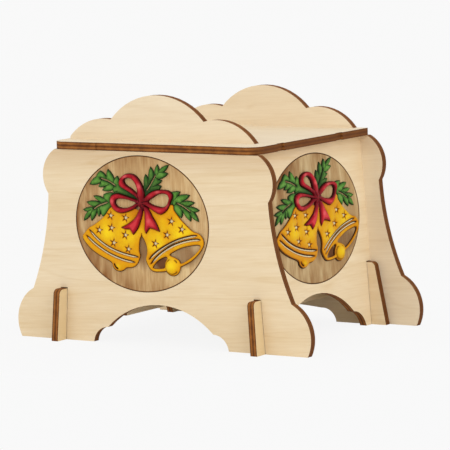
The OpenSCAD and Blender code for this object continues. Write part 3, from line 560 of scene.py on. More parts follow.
medallions = {side: Medallion(side) for side in SIDES}
for side, medallion in medallions.items():
    print(side, "oval half sizes in mm:", [round(h / MM, 1) for h in medallion.half])

# %% [markdown]
# The stain itself. Patches of cream and brown come from one slow noise. The browning is
# strongest near the rim on the left, and a thin dark line runs round the rim.

# %% Medallion finish
STAIN_LIGHT = rgb(226, 196, 144)
STAIN_DARK = rgb(176, 132, 82)
STAIN_CREAM = rgb(232, 208, 160)
RIM_BROWN = rgb(128, 76, 32)
RIM_LINE = rgb(112, 72, 38)
PAINTED_SHADE_BROWN = rgb(112, 70, 40)
# Painted shade inside the open bell and between the bells.
SHADE_PATCHES = [  # x, y, half width and half height in mm of the art, strength
    (12.4, -20.2, 6.5, 5.5, 1.0),
    (27.0, -15.5, 12.0, 7.0, 0.62),
    (0.6, -12.0, 4.6, 14.0, 0.72),
]
# Painted shade: the ovals on the right, back and left are darker than the front one.
STAIN_SHADE_BY_SIDE = {"front": 1.0, "right": 0.78, "back": 0.9, "left": 0.95}
STREAKS = (190, 190, 10)
PATCH_STRETCH = (100, 100, 26)
PATCH_SEED = 3.0


def oval_reach(nodes, place, middle, right, up):
    """Squared distance from the middle of an oval, 1 on its rim, and the part along right.
    right and up are its directions divided by its half sizes."""
    shifted = nodes.vector("SUBTRACT", place, middle)
    across, upward = (nodes.vector("DOT_PRODUCT", shifted, way) for way in (right, up))
    squares = (nodes.math("MULTIPLY", part, part) for part in (across, upward))
    return nodes.math("ADD", *squares), across


def stain(side, medallion):
    material, nodes = new_material("stain_" + side)
    seed = float(SIDES.index(side))
    tones = {"Light": STAIN_LIGHT, "Dark": STAIN_DARK}
    grain = nodes.effect("grain", Scale=STREAKS, **tones, Shift=seed, Fine_share=0.6)
    place, right, up, half = nodes.place(), medallion.right, medallion.up, medallion.half
    reach, across = oval_reach(nodes, place, medallion.middle, right / half.x, up / half.y)
    stretched = nodes.vector("MULTIPLY", place, PATCH_STRETCH)
    more = {"noise_dimensions": "4D", "W": seed + PATCH_SEED, "Detail": 3.0, "Roughness": 0.6}
    patches = nodes.noise(stretched, 1.0, **more)
    leftward = nodes.ramp(across, 0.9, -0.7, 0.2)
    browning = nodes.math("MULTIPLY", nodes.ramp(reach, 0.3, 1.0), leftward)
    browning = nodes.math("MULTIPLY", browning, nodes.ramp(patches, 0.6, 0.4, 0.1))
    layers = [
        (nodes.ramp(patches, 0.5, 0.66, 0.0, 0.75), STAIN_CREAM),
        (browning, RIM_BROWN),
        (nodes.ramp(reach, 0.975, 0.992), RIM_LINE),
    ]
    # Painted shade: soft brown ovals inside the open bell and between the bells.
    for x, y, wide, tall, strength in SHADE_PATCHES:
        ways = right / (wide * MM), up / (tall * MM)
        shade_reach, _ = oval_reach(nodes, place, medallion.place(x, y, 0), *ways)
        layers.append((nodes.ramp(shade_reach, 1.0, 0.2, 0.0, strength), PAINTED_SHADE_BROWN))
    nodes.surface(
        Base_Color=nodes.tinted(nodes.coats(grain["Colour"], layers), [STAIN_SHADE_BY_SIDE[side]] * 3),
        Roughness=0.65,
        Specular_IOR_Level=0.12,
        Normal=nodes.bumped(grain["Height"], 0.2, 0.0002),
    )
    return material


for side, medallion in medallions.items():
    give(stain(side, medallion), side + "_disc")
print("stained ovals:", sum(m.name.startswith("stain_") for m in bpy.data.materials))

# %% [markdown]
# ## Paint relief
# The bells, bow and leaves are cut from thin wood and painted thickly, so that their tops
# are softly rounded. The ready-made pieces have the right outlines but flat tops. So each
# one is made again: its top outline is read from the frame, filled with small triangles,
# and raised by a rounded profile that depends on the distance from the cut edge. First
# come the outline and the distances. All of it works in millimetres of the art.

# %% Outlines and distances
EDGE_STEP = 0.5
POINTS_AT_ONCE = 500
TINY = 1e-9
UPWARD = 0.99
TOP_SLACK = 0.05


def top_outline(piece, medallion):
    """Edges round the top face of a flat piece, as pairs of art points."""
    mesh = piece.data
    spots = medallion.to_art(np.array([v.co for v in mesh.vertices]))
    upward = np.array([p.normal @ medallion.out for p in mesh.polygons]) > UPWARD
    height = np.array([spots[list(p.vertices)][:, 2].mean() for p in mesh.polygons])
    on_top = upward & (height > height[upward].max() - TOP_SLACK)
    edges = {}
    for polygon in np.nonzero(on_top)[0]:
        ring = [tuple(np.round(spots[v][:2], 4)) for v in mesh.polygons[polygon].vertices]
        for a, b in zip(ring, ring[1:] + ring[:1]):
            edges[(a, b)] = True
    return np.array([(a, b) for a, b in edges if (b, a) not in edges])


def chain(edges):
    """The same edges as closed rings of points, cut finer."""
    after = {}
    for a, b in edges:
        after.setdefault(tuple(a), []).append(tuple(b))
    rings = []
    while after:
        start = next(iter(after))
        ring, here = [], start
        while here in after:
            there = after[here].pop()
            if not after[here]:
                del after[here]
            steps = max(1, round(math.dist(here, there) / EDGE_STEP))
            ring += [np.array(here) + (np.array(there) - here) * k / steps for k in range(steps)]
            here = there
        rings.append(np.array(ring))
    return rings


def ring_edges(ring):
    return np.stack([ring, np.roll(ring, -1, 0)], 1)


def from_edge(points, edges):
    """Distance of each point from the nearest edge."""
    a, b = edges[:, 0], edges[:, 1]
    way = b - a
    length = np.maximum((way**2).sum(1), 1e-12)
    best = np.full(len(points), 1e9)
    for part in np.array_split(np.arange(len(points)), max(1, len(points) // POINTS_AT_ONCE)):
        offset = points[part][:, None] - a[None]
        t = np.clip((offset * way).sum(2) / length, 0, 1)
        best[part] = np.sqrt(((offset - t[..., None] * way) ** 2).sum(2)).min(1)
    return best


def inside(points, edges):
    """True where a ray to the right crosses the outline an odd number of times."""
    ax, ay = edges[:, 0, 0], edges[:, 0, 1]
    bx, by = edges[:, 1, 0], edges[:, 1, 1]
    x, y = points[:, 0][:, None], points[:, 1][:, None]
    spans = (ay > y) != (by > y)
    rise = np.where(by == ay, 1.0, by - ay)
    return (spans & (x < (bx - ax) * (y - ay) / rise + ax)).sum(1) % 2 == 1


def smooth_step(t):
    return t * t * (3 - 2 * t)


def rounded(distance, width):
    """Rises from 0 at the edge to 1 at the given distance, steep at first."""
    t = np.clip(distance / width, 0, 1)
    return np.sqrt(1 - (1 - t) ** 2)


def near(points, centre, radius):
    """1 at the centre, falling smoothly to 0 at the radius."""
    return smooth_step(np.clip(1 - np.linalg.norm(points - np.array(centre), axis=1) / radius, 0, 1))


bow_rings = chain(top_outline(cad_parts["front_bow"], medallions["front"]))
print("points round the front bow:", [len(ring) for ring in bow_rings])

# %% [markdown]
# ## Grooves and inner points
# Grooves run along given lines, and inward from the sharp notches of an outline, where a
# knife would have cut between two lobes. The points inside an outline lie in rows along
# its edge and its grooves, so that slopes are smooth there, and in an even field elsewhere.

# %% Grooves and the points inside an outline
CELL = 0.62
ROW_HEIGHT = 0.87
INSETS = (0.22, 0.55, 1.0)
CLOSEST = 0.17
GROOVE_HALF = 0.42
GROOVE_STEP = 0.3
EDGE_GAP = 0.2
LONG_OUTLINE = 40
ARC_STEP = 6
ROW_SHARE = 0.93
FIELD_GAP = 0.6
GROOVE_ROWS = (0, -0.5, 0.5, -1, 1)
SHARP_TURN = -0.6


def resampled(line):
    """The same line with a point at least every step."""
    line = np.array(line, float)
    spots = []
    for a, b in zip(line[:-1], line[1:]):
        count = max(1, round(math.dist(a, b) / GROOVE_STEP))
        spots += [a + (b - a) * k / count for k in range(count)]
    return np.array([*spots, line[-1]])


def arc_line(centre, radius, start, end):
    turns = np.radians(np.linspace(start, end, 2 + int(abs(end - start) / ARC_STEP)))
    return [(centre[0] + radius * math.cos(t), centre[1] + radius * math.sin(t)) for t in turns]


def notch_lines(rings, reach):
    """Lines that run inward from the sharp notches of the long outlines."""
    lines = []
    for ring in rings:
        before, after = ring - np.roll(ring, 1, 0), np.roll(ring, -1, 0) - ring
        if np.linalg.norm(after, axis=1).sum() < LONG_OUTLINE:
            continue
        across = before[:, 0] * after[:, 1] - before[:, 1] * after[:, 0]
        turn = np.arctan2(across, (before * after).sum(1))
        for k in np.nonzero(turn < SHARP_TURN)[0]:
            inward = np.array([-(before[k] + after[k])[1], (before[k] + after[k])[0]])
            lines.append([ring[k], ring[k] + inward / max(np.linalg.norm(inward), TINY) * reach])
    return lines


def groove_share(points, lines):
    """1 on the lines, falling smoothly to 0 at the groove's half width."""
    if not lines:
        return np.zeros(len(points))
    pieces = np.concatenate([np.stack([line[:-1], line[1:]], 1) for line in lines])
    return smooth_step(np.clip(1 - from_edge(points, pieces) / GROOVE_HALF, 0, 1))


def normals(ahead):
    """Unit normals on the left of the given directions."""
    normal = np.stack([-ahead[:, 1], ahead[:, 0]], 1)
    return normal / np.maximum(np.linalg.norm(normal, axis=1), TINY)[:, None]


def inner_points(rings, edges, lines):
    rows = []
    for line in lines:
        normal = normals(np.gradient(line, axis=0))
        for share in GROOVE_ROWS:
            row = line + normal * share * GROOVE_HALF
            rows.append(row[from_edge(row, edges) > EDGE_GAP])
    for ring in rings:
        normal = normals(np.roll(ring, -1, 0) - np.roll(ring, 1, 0))
        for k, inset in enumerate(INSETS):
            row = ring[:: k + 1] + normal[:: k + 1] * inset
            rows.append(row[from_edge(row, edges) > inset * ROW_SHARE])
    low, high = edges.reshape(-1, 2).min(0), edges.reshape(-1, 2).max(0)
    field = []
    for j, y in enumerate(np.arange(low[1], high[1], CELL * ROW_HEIGHT)):
        field += [(x, y) for x in np.arange(low[0] + CELL / 2 * (j % 2), high[0], CELL)]
    field = np.array(field)
    field = field[from_edge(field, edges) > INSETS[-1] + CELL * FIELD_GAP]
    field = field[groove_share(field, lines) == 0]
    points = np.concatenate([*rows, field])
    kept = {}
    for p in points[inside(points, edges)]:
        kept.setdefault((round(p[0] / CLOSEST), round(p[1] / CLOSEST)), p)
    return np.array(list(kept.values()))


def inside_grid(ring):
    """An even grid of points inside one closed ring."""
    low, high = ring.min(0), ring.max(0)
    across, upward = (np.arange(low[k], high[k], GROOVE_STEP) for k in (0, 1))
    x, y = np.meshgrid(across, upward)
    grid = np.stack([x.ravel(), y.ravel()], 1)
    return grid[inside(grid, ring_edges(ring))]


print("notches of the front bow:", len(notch_lines(bow_rings, 1.0)))

# %% [markdown]
# ## Raised copies
# The points are joined into triangles, and the top is raised. A lower face and a wall
# close the piece. The distance from the edge, the grooves and the painted highlights are
# kept on the mesh, where the paint uses them for dark rims, lines and lights.

# %% Build a raised copy
GROOVE_RAMP = 0.4
GLOW_STRENGTH = 0.75
ON_EDGE = 1e-3
MERGE = 1e-5
KEPT = ("edge_distance", "groove", "glow")


def triangles(rings, inner, edges):
    """Flat points and the faces between them, without those outside the outline."""
    start = np.cumsum([0] + [len(r) for r in rings])
    loops = [(s + i, s + (i + 1) % len(r)) for s, r in zip(start, rings) for i in range(len(r))]
    points = [Vector(p) for p in np.concatenate([*rings, inner])]
    flat, _, faces, _, _, _ = delaunay_2d_cdt(points, loops, [], 0, MERGE)
    flat = np.array(flat)
    kept = inside(flat[np.array(faces)].mean(1), edges)
    return flat, [face for face, ok in zip(faces, kept) if ok]


def closed_mesh(name, faces, upper, lower):
    """The faces at the upper points, again at the lower points, and a wall between them."""
    used = {(a, b): True for face in faces for a, b in zip(face, face[1:] + face[:1])}
    n = len(upper)
    walls = [(b, a, a + n, b + n) for a, b in used if (b, a) not in used]
    floor = [tuple(v + n for v in reversed(f)) for f in faces]
    mesh = bpy.data.meshes.new(name)
    mesh.from_pydata(upper + lower, [], [tuple(f) for f in faces] + walls + floor)
    smooth = [k < len(faces) for k in range(len(mesh.polygons))]
    mesh.polygons.foreach_set("use_smooth", smooth)
    return mesh


def keep(mesh, name, values):
    """Keeps a number or a place for each point on the mesh."""
    values = np.asarray(values, np.float32)
    kind, field = ("FLOAT", "value") if values.ndim == 1 else ("FLOAT_VECTOR", "vector")
    mesh.attributes.new(name, kind, "POINT").data.foreach_set(field, values.ravel())


def sharpen(mesh):
    """Drops loose points, and makes edges sharp where smooth and flat faces meet."""
    shaped = bmesh.new()
    shaped.from_mesh(mesh)
    loose = [v for v in shaped.verts if not v.link_faces]
    bmesh.ops.delete(shaped, geom=loose, context="VERTS")
    for edge in shaped.edges:
        if len(edge.link_faces) == 2 and edge.link_faces[0].smooth != edge.link_faces[1].smooth:
            edge.smooth = False
    shaped.to_mesh(mesh)
    shaped.free()


def relief(
    name, side, profile, foot, finish,
    lines=(), notch=0.0, drop=0.5, glows=(), cut_shade=None, fine=(), shift=(0, 0),
):
    """A raised copy of a flat piece. profile turns art points and edge distances into
    heights, over a foot at a height of its own. Grooves run along the lines and in from
    sharp notches, and drop is how deep they are. glows are spots (x, y, radius) of painted
    highlight, a painted shade of its own can take the place of the grooves' darkening, fine
    rings get a closer mesh, and shift moves the outline a little."""
    medallion = medallions[side]
    rings = chain(top_outline(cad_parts[name], medallion))
    edges = np.concatenate([ring_edges(ring) for ring in rings])
    notches = notch_lines(rings, notch) if notch else []
    grooves = [resampled(line) for line in [*lines, *notches]]
    inner = inner_points(rings, edges, grooves)
    inner = np.concatenate([inner, *(inside_grid(ring) for ring in fine)])
    flat, faces = triangles(rings, inner, edges)
    distance = from_edge(flat, edges)
    distance[distance < ON_EDGE] = 0
    groove = groove_share(flat, grooves)
    heights = profile(flat, distance) - drop * groove * np.clip(distance / GROOVE_RAMP, 0, 1)
    spots = [GLOW_STRENGTH * near(flat, spot[:2], spot[2]) for spot in glows]
    glow = np.max([*spots, np.zeros(len(flat))], axis=0)
    # Painted shade, where given, takes the place of the grooves' darkening.
    groove = cut_shade(flat) if cut_shade else groove
    flat = flat + np.where(distance == 0, 1, 0)[:, None] * shift
    upper = [medallion.place(*p, h) for p, h in zip(flat, heights)]
    lower = [medallion.place(*p, foot) for p in flat]
    mesh = closed_mesh(name, faces, upper, lower)
    for label, values in zip(KEPT, (distance, groove, glow)):
        keep(mesh, label, np.concatenate([values, values * 0]))
    keep(mesh, "art_place", np.concatenate([np.column_stack([flat, heights])] * 2))
    mesh.materials.append(finish)
    sharpen(mesh)
    piece = bpy.data.objects.new("relief_" + name, mesh)
    scene.collection.objects.link(piece)
    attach(piece, "root")
    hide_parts(name)
    print(piece.name, "faces:", len(mesh.polygons))


print("kept on every raised copy:", KEPT)

# %% [markdown]
# ## Paints
# Each paint is a run of tones from the scorched edge inward, read from the distance kept on
# the relief, with blotches so that no field is flat. The place on the oval gives painted
# shade to what lies under the bow. The bells on the right wall get a darker gold as painted
# shade, since that wall faces the fill lamp. The other paints are the same on all four sides.

# %% Paint finishes
KNOT = (1.0, 11.3)
PAINT_SHINE = 0.1
SHADE_CORE = 0.35
SHADE_STRENGTH = 0.85


def paint(name, tones, glow, clouds, shade, rough, depth=(1, 1, 1)):
    """tones are pairs of a distance in mm and a colour, glow is the colour of painted
    highlights, clouds say how wide the highlights come and go and how much, and shade gives
    a radius and a colour of painted shade round the knot of the bow."""
    material, nodes = new_material(name)
    distance, art = nodes.stored("edge_distance"), nodes.stored("art_place", "Vector")
    reach = tones[-1][0]
    run = nodes.add("ShaderNodeValToRGB")
    nodes.feed(run.inputs[0], nodes.ramp(distance, 0.0, reach))
    stops = run.color_ramp.elements
    while len(stops) < len(tones):
        stops.new(0.5)
    for stop, (at, colour) in zip(stops, tones):
        stop.position = at / reach
        stop.color = colour
    wide, amount = clouds
    blotches = nodes.noise(art, 1 / wide, Detail=3.0, Roughness=0.6)
    come_and_go = nodes.ramp(blotches, 0.3, 0.7, -amount, amount)
    lit = nodes.math("ADD", come_and_go, nodes.stored("glow"), clamp=True)
    lit = nodes.math("MULTIPLY", lit, nodes.ramp(distance, tones[1][0], tones[2][0]))
    radius, shade_colour = shade
    away = nodes.vector("DISTANCE", nodes.vector("MULTIPLY", art, (1, 1, 0)), (*KNOT, 0))
    shaded = nodes.ramp(away, radius, radius * SHADE_CORE, 0.0, SHADE_STRENGTH)
    layers = [(lit, glow), (shaded, shade_colour), (nodes.stored("groove"), tones[0][1])]
    colour = nodes.tinted(nodes.coats(run.outputs[0], layers), depth)
    nodes.surface(Base_Color=colour, Roughness=rough, Specular_IOR_Level=PAINT_SHINE)
    return material


GOLD_TONES = [
    (0, rgb(120, 70, 6)),
    (0.16, rgb(198, 124, 4)),
    (0.5, rgb(218, 150, 6)),
    (1.6, rgb(222, 158, 8)),
    (5.0, rgb(224, 166, 10)),
]
# The ribbon runs from its dark scorched edge to a light tone along the middle of the cord: that lightest
# tone is a painted highlight.
RIBBON_TONES_AND_HIGHLIGHT = [
    (0, rgb(56, 4, 10)),
    (0.25, rgb(112, 8, 20)),
    (0.75, rgb(158, 14, 28)),
    (1.25, rgb(180, 24, 38)),
    (1.75, rgb(204, 54, 62)),
]
PALE_TONES = [
    (0, rgb(48, 28, 10)),
    (0.12, rgb(96, 64, 30)),
    (0.3, rgb(226, 208, 164)),
    (1.0, rgb(232, 216, 174)),
    (2.0, rgb(232, 216, 174)),
]
LEAF_TONES = [
    (0, rgb(24, 38, 14)),
    (0.25, rgb(34, 64, 24)),
    (0.6, rgb(56, 98, 34)),
    (1.1, rgb(74, 124, 44)),
    (1.8, rgb(96, 146, 60)),
]
# Painted shade: the gold on the right wall is made darker than on the other sides.
GOLD_SHADE_BY_SIDE = {"right": (0.88, 0.82, 0.7)}


def gold(side):
    depth = GOLD_SHADE_BY_SIDE.get(side, (1, 1, 1))
    shade = (15.5, rgb(196, 116, 6))
    return paint("bell_paint_" + side, GOLD_TONES, rgb(246, 212, 28), (9.0, 0.3), shade, 0.38, depth)


golds = {side: gold(side) for side in SIDES}
ribbon = paint(
    "bow_paint", RIBBON_TONES_AND_HIGHLIGHT, rgb(226, 98, 100), (5.0, 0.1), (8.5, rgb(104, 6, 18)), 0.36
)
pale_paint = paint(
    "pale_wood", PALE_TONES, rgb(240, 230, 196), (2.0, 0.2), (4.0, rgb(200, 180, 140)), 0.7
)
leaf_green = paint(
    "leaf_paint", LEAF_TONES, rgb(134, 172, 86), (1.6, 0.35), (21.0, rgb(24, 48, 20)), 0.5
)
print("paints:", [m.name for m in (*golds.values(), ribbon, pale_paint, leaf_green)])

# %% [markdown]
# ## Bells, bow and leaves on all four sides
# The leaves lie lowest and swell gently along each lobe. The bells rise a little toward
# their middle, and the open bell's clapper stands out as a ball. The ribbons are rounded
# like soft cord, and the knot sits highest. Under the bells lies a pale layer that shows
# through their slots and stars. It carries a painted shadow under the upper edge of every
# slot, and painted shade in the arms of the stars and in the small crescent. Its dark rim,
# moved a little to the lower left, shows as a painted shadow beside the bells.

# %% Build the reliefs
PALE_TOP = 0.5
LEAF_EDGE, LEAF_RISE, LEAF_WIDE = 0.5, 0.6, 1.8
BOW_EDGE, BOW_RISE, BOW_WIDE = 1.1, 1.2, 1.9
BELL_EDGE = 0.8
BELL_RIM_RISE, BELL_RIM_WIDE = 0.35, 1.0
BELL_RISE, BELL_WIDE = 0.75, 8.0
BALL_RISE = 1.1
KNOT_RISE, KNOT_R = 0.4, 4.0
CLAPPER_RISE, CLAPPER_R, CLAPPER_EDGE = 0.5, 5.0, 3.0
STAR_SPAN = 12.0
STAR_EYE = 0.85
STAR_BLUR = 0.25
SLOT_SHADE = 0.75
SLOT_BLUR = 0.15
CRESCENT_R = 3
# Painted shadow: the pale layer's dark rim is moved to the lower left, so that it shows beside the bells.
SHADOW_OFFSET = (-0.34, -0.36)
BALL, BALL_R = (19.4, -21.6), 3.9
BALL_LINES = [arc_line(BALL, BALL_R, 115, 320), arc_line(BALL, BALL_R, 40, 60)]
HIDDEN_CLAPPER = (-15.0, -23.0)
# Painted highlights on the bells, one of them on the clapper ball.
BELL_GLOWS = [  # x, y, radius
    (-9, -5, 13),
    (-22, -6, 9),
    (25, -2.5, 12),
    (10, -11, 9),
    (-15, -23, 2.8),
    (18.8, -20.6, 6),
]
# Painted highlights on the loops and tails of the bow.
BOW_GLOWS = [
    (-8.5, 25, 2.6),
    (0.6, 20, 2.6),
    (-17.4, 11.5, 2.2),
    (12, 17.8, 2.4),
    (18.6, 10.2, 2.2),
    (-3.6, 3.2, 2),
    (6, 2, 2),
]
BOW_LINES = [
    [(-0.4, 11.0), (-3.6, 11.4)],
    [(2.2, 11.8), (6.2, 12.6)],
    [(0.4, 12.2), (-1.2, 16.2)],
    [(1.2, 10.4), (2.4, 5.0)],
    [(-0.2, 10.2), (-2.6, 8.6)],
    [(2.4, 10.6), (4.8, 9.2)],
]


def leaf_profile(points, distance):
    return LEAF_EDGE + LEAF_RISE * rounded(distance, LEAF_WIDE)


def bell_profile(points, distance):
    rim = BELL_RIM_RISE * rounded(distance, BELL_RIM_WIDE)
    swell = BELL_RISE * rounded(distance, BELL_WIDE) ** 2
    from_ball = np.linalg.norm(points - np.array(BALL), axis=1) / BALL_R
    ball = BALL_RISE * np.sqrt(np.clip(1 - from_ball**2, 0, 1))
    hidden = near(points, HIDDEN_CLAPPER, CLAPPER_R) * rounded(distance, CLAPPER_EDGE)
    return BELL_EDGE + rim + swell + ball + CLAPPER_RISE * hidden


def bow_profile(points, distance):
    cord = BOW_EDGE + BOW_RISE * rounded(distance, BOW_WIDE)
    return cord + KNOT_RISE * near(points, KNOT, KNOT_R)


def level_profile(points, distance):
    return PALE_TOP + 0 * distance


def upper_edges(ring):
    """Edges on the upper side of a slot: a ring that turns left runs leftward there."""
    after = np.roll(ring, -1, 0)
    turn = (ring[:, 0] * after[:, 1] - ring[:, 1] * after[:, 0]).sum()
    return ring_edges(ring)[(after - ring)[:, 0] * np.sign(turn) < 0]


def bell_cuts(side):
    """The slots and the stars of the bells: rings that the layer under them doesn't share."""
    bells, layer = (
        top_outline(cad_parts[side + part], medallions[side]) for part in ("_bells", "_bell_backs")
    )
    known = {tuple(np.round(a, 2)) for a in layer[:, 0]}
    return [ring for ring in chain(bells) if tuple(np.round(ring[0], 2)) not in known]


def cut_shade_of(cuts):
    """How dark the painted shade on the pale layer is at given points."""
    spans = [np.ptp(ring, axis=0).max() for ring in cuts]
    slots = [ring for ring, span in zip(cuts, spans) if span > STAR_SPAN]
    small = [ring for ring, span in zip(cuts, spans) if span < STAR_SPAN]
    middles = [(ring.max(0) + ring.min(0)) / 2 for ring in small]
    crescent = min(range(len(middles)), key=lambda k: math.dist(middles[k], HIDDEN_CLAPPER))
    stars = np.array(middles[:crescent] + middles[crescent + 1 :])
    shaded = np.concatenate([upper_edges(ring) for ring in slots])

    # Painted shadow under the upper edge of each slot, painted shade in the star arms and the crescent.
    def cut_shade(points):
        under_edge = np.clip((SLOT_SHADE - from_edge(points, shaded)) / SLOT_BLUR, 0, 1)
        from_star = np.linalg.norm(points[:, None] - stars[None], axis=2).min(1)
        arms = np.clip((from_star - STAR_EYE) / STAR_BLUR, 0, 1) * (from_star < STAR_SPAN / 4)
        in_crescent = np.linalg.norm(points - middles[crescent], axis=1) < CRESCENT_R
        return np.max([under_edge, arms, in_crescent], axis=0)

    return cut_shade


for side in SIDES:
    cuts = bell_cuts(side)
    relief(
        side + "_bell_backs", side, level_profile, 0.0, pale_paint,
        cut_shade=cut_shade_of(cuts), fine=cuts, shift=SHADOW_OFFSET,
    )
    relief(
        side + "_leaves", side, leaf_profile, 0.0, leaf_green, notch=2.6, drop=0.35
    )
    relief(
        side + "_bells", side, bell_profile, PALE_TOP, golds[side],
        lines=BALL_LINES, drop=0.6, glows=BELL_GLOWS,
    )
    relief(
        side + "_bow", side, bow_profile, 0.0, ribbon,
        lines=BOW_LINES, drop=0.7, glows=BOW_GLOWS,
    )

# %% [markdown]
# ## Metal, turned wood and paint
# The hinges and their screws are brass, slightly tarnished. The pins, the magnet of the
# catch and its keeper are steel. The two spring discs are turned from plain birch, and the
# figure is turned and painted, so fine tool marks run round it under the satin paint.

# %% Finishes for the small hard parts
BRUSHED = (60, 1400, 1400)
TOOL_MARKS = (12, 12, 900)
WORN_LOW = (0.82, 0.82, 0.82, 1)
WORN_HIGH = (1, 1, 1, 1)


def metal(name, bright, dull, rough):
    material, nodes = new_material(name)
    scratches = nodes.effect("grain", Scale=BRUSHED)["Height"]
    hammered = nodes.noise(nodes.place(), 900.0)
    nodes.surface(
        Base_Color=nodes.effect("blotch", Scale=160.0, Low=dull, High=bright)["Colour"],
        Metallic=1.0,
        Roughness=nodes.ramp(scratches, 0.0, 1.0, rough - 0.08, rough + 0.14),
        Normal=nodes.bumped(hammered, 0.04, 0.0002),
    )
    return material


def turned(name, light, dark, rough=0.45, coat=0.0):
    """Wood turned about the upright axis, bare or painted."""
    material, nodes = new_material(name)
    marks = nodes.effect("grain", Scale=TOOL_MARKS, Light=light, Dark=dark)
    clouds = nodes.effect("blotch", Scale=130.0, Low=WORN_LOW, High=WORN_HIGH)
    nodes.surface(
        Base_Color=nodes.mix(0.8, marks["Colour"], clouds["Colour"], "MULTIPLY"),
        Roughness=rough,
        Specular_IOR_Level=0.4,
        Coat_Weight=coat,
        Coat_Roughness=0.2,
        Normal=nodes.bumped(marks["Height"], 0.12, 0.0001),
    )
    return material


HINGE_LEAVES = [f"hinge_{side}_{part}_leaf" for side in ("left", "right") for part in ("body", "lid")]
brass = metal("brass", rgb(222, 186, 106), rgb(202, 164, 88), 0.32)
steel = metal("steel", rgb(206, 206, 208), rgb(160, 160, 164), 0.3)
give(brass, *HINGE_LEAVES, "hinge_body_screws", "hinge_lid_screws", "cap_bells")
give(steel, "hinge_pins", "catch_magnet", "lid_keeper")
give(turned("turned_birch", rgb(226, 198, 152), rgb(196, 160, 112)), "spring_base", "spring_top")
give(turned("green_turned", rgb(70, 132, 62), rgb(44, 98, 44), 0.38, 0.25), "torso")
give(turned("gold_dots", rgb(238, 190, 52), rgb(212, 152, 30), 0.32, 0.4), "torso_buttons")
give(turned("hand_paint", rgb(240, 202, 166), rgb(228, 184, 146), 0.42, 0.15), "hands")
give(turned("nose_paint", rgb(206, 44, 44), rgb(178, 26, 32), 0.25, 0.5), "nose")
print("finishes so far:", len(bpy.data.materials))

# %% [markdown]
# ## The face
# The head is a turned ball with a simple painted face: two oval eyes with a painted glint
# in each, under thin brows, a small smile and round cheeks. Every mark is an oval or a
# piece of a ring in the plane of the face, so that the finish is a short list of marks in
# millimetres round the middle of the head.

# %% Face finish
SKIN_LIGHT, SKIN_DARK = rgb(244, 210, 174), rgb(232, 190, 152)
SKIN_MARKS = (12, 12, 700)
INK = rgb(48, 30, 24)
LIP = rgb(176, 40, 44)
BLUSH = rgb(226, 122, 104)
# Painted glint in each eye.
EYE_GLINT = rgb(250, 248, 242)
FACE_MARKS = [  # x, z, half width, half height, softness, colour
    *[(s * 5.4, -2.6, 2.5, 2.3, 0.75, BLUSH) for s in (-1, 1)],
    *[(s * 3.7, 0.9, 0.85, 1.25, 0.15, INK) for s in (-1, 1)],
    *[(s * 3.7 + 0.25, 1.35, 0.28, 0.34, 0.3, EYE_GLINT) for s in (-1, 1)],
]
FACE_ARCS = [  # x, z, radius, half thickness, span in degrees, direction in degrees, colour
    (0, -1.6, 4.1, 0.28, 38, -90, LIP),
    *[(s * 3.7, 0.3, 3.1, 0.22, 27, 90 - s * 6, INK) for s in (-1, 1)],
]
ARC_END = 0.02


def face_finish(middle):
    material, nodes = new_material("face_paint")
    marks = nodes.effect("grain", Scale=SKIN_MARKS, Light=SKIN_LIGHT, Dark=SKIN_DARK)
    shifted = nodes.vector("SUBTRACT", nodes.place(), middle)
    in_front = nodes.math("LESS_THAN", nodes.parts(shifted)["Y"], 0.0)
    flat = nodes.vector("MULTIPLY", shifted, (1 / MM, 0, 1 / MM))
    layers = []
    for x, z, wide, tall, soft, colour in FACE_MARKS:
        from_mark = nodes.vector("SUBTRACT", flat, (x, 0, z))
        reach = nodes.vector("LENGTH", nodes.vector("DIVIDE", from_mark, (wide, 1, tall)))
        layers.append((nodes.ramp(reach, 1.0, 1 - soft), colour))
    for x, z, radius, half, span, way, colour in FACE_ARCS:
        toward = (math.cos(math.radians(way)), 0, math.sin(math.radians(way)))
        from_mark = nodes.vector("SUBTRACT", flat, (x, 0, z))
        off = nodes.math("ABSOLUTE", nodes.math("SUBTRACT", nodes.vector("LENGTH", from_mark), radius))
        band = nodes.ramp(off, half * 1.3, half * 0.7)
        along = nodes.vector("DOT_PRODUCT", nodes.vector("NORMALIZE", from_mark), toward)
        end = math.cos(math.radians(span))
        within = nodes.ramp(along, end - ARC_END, end + ARC_END)
        layers.append((nodes.math("MULTIPLY", band, within), colour))
    layers = [(nodes.math("MULTIPLY", mask, in_front), colour) for mask, colour in layers]
    nodes.surface(
        Base_Color=nodes.coats(marks["Colour"], layers),
        Roughness=0.42,
        Specular_IOR_Level=0.4,
        Coat_Weight=0.2,
        Coat_Roughness=0.25,
        Normal=nodes.bumped(marks["Height"], 0.08, 0.0001),
    )
    return material


head_low, head_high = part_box("head")
HEAD_R = (head_high.x - head_low.x) / 2
head_middle = (head_low + head_high) / 2
head_middle.z = head_high.z - HEAD_R
give(face_finish(head_middle), "head")
print("head radius in mm:", round(HEAD_R / MM, 2))

# %% [markdown]
# ## Cloth finishes
# Cloth needs coordinates that stay on the weave when the sleeve stretches, so each soft
# piece keeps its own: the distance round the piece and the distance along it. *Threads*
# turns them into a fine weave. Stripes and a coloured hem come from the same two numbers.

# %% Cloth finishes
THREAD_SHADE = (0.35, 0.35, 0.35, 1)
THREAD_DEPTH = 0.25


def make_threads_group():
    nodes, into = group("threads", {"Height": "value"}, Pitch=0.0005)
    parts = nodes.parts(nodes.vector("DIVIDE", nodes.stored("weave", "Vector"), into["Pitch"]))
    ripples = (nodes.math("SINE", nodes.math("MULTIPLY", parts[axis], math.pi)) for axis in "XY")
    crossed = nodes.math("ABSOLUTE", nodes.math("MULTIPLY", *ripples))
    nodes.add("NodeGroupOutput", Height=crossed)


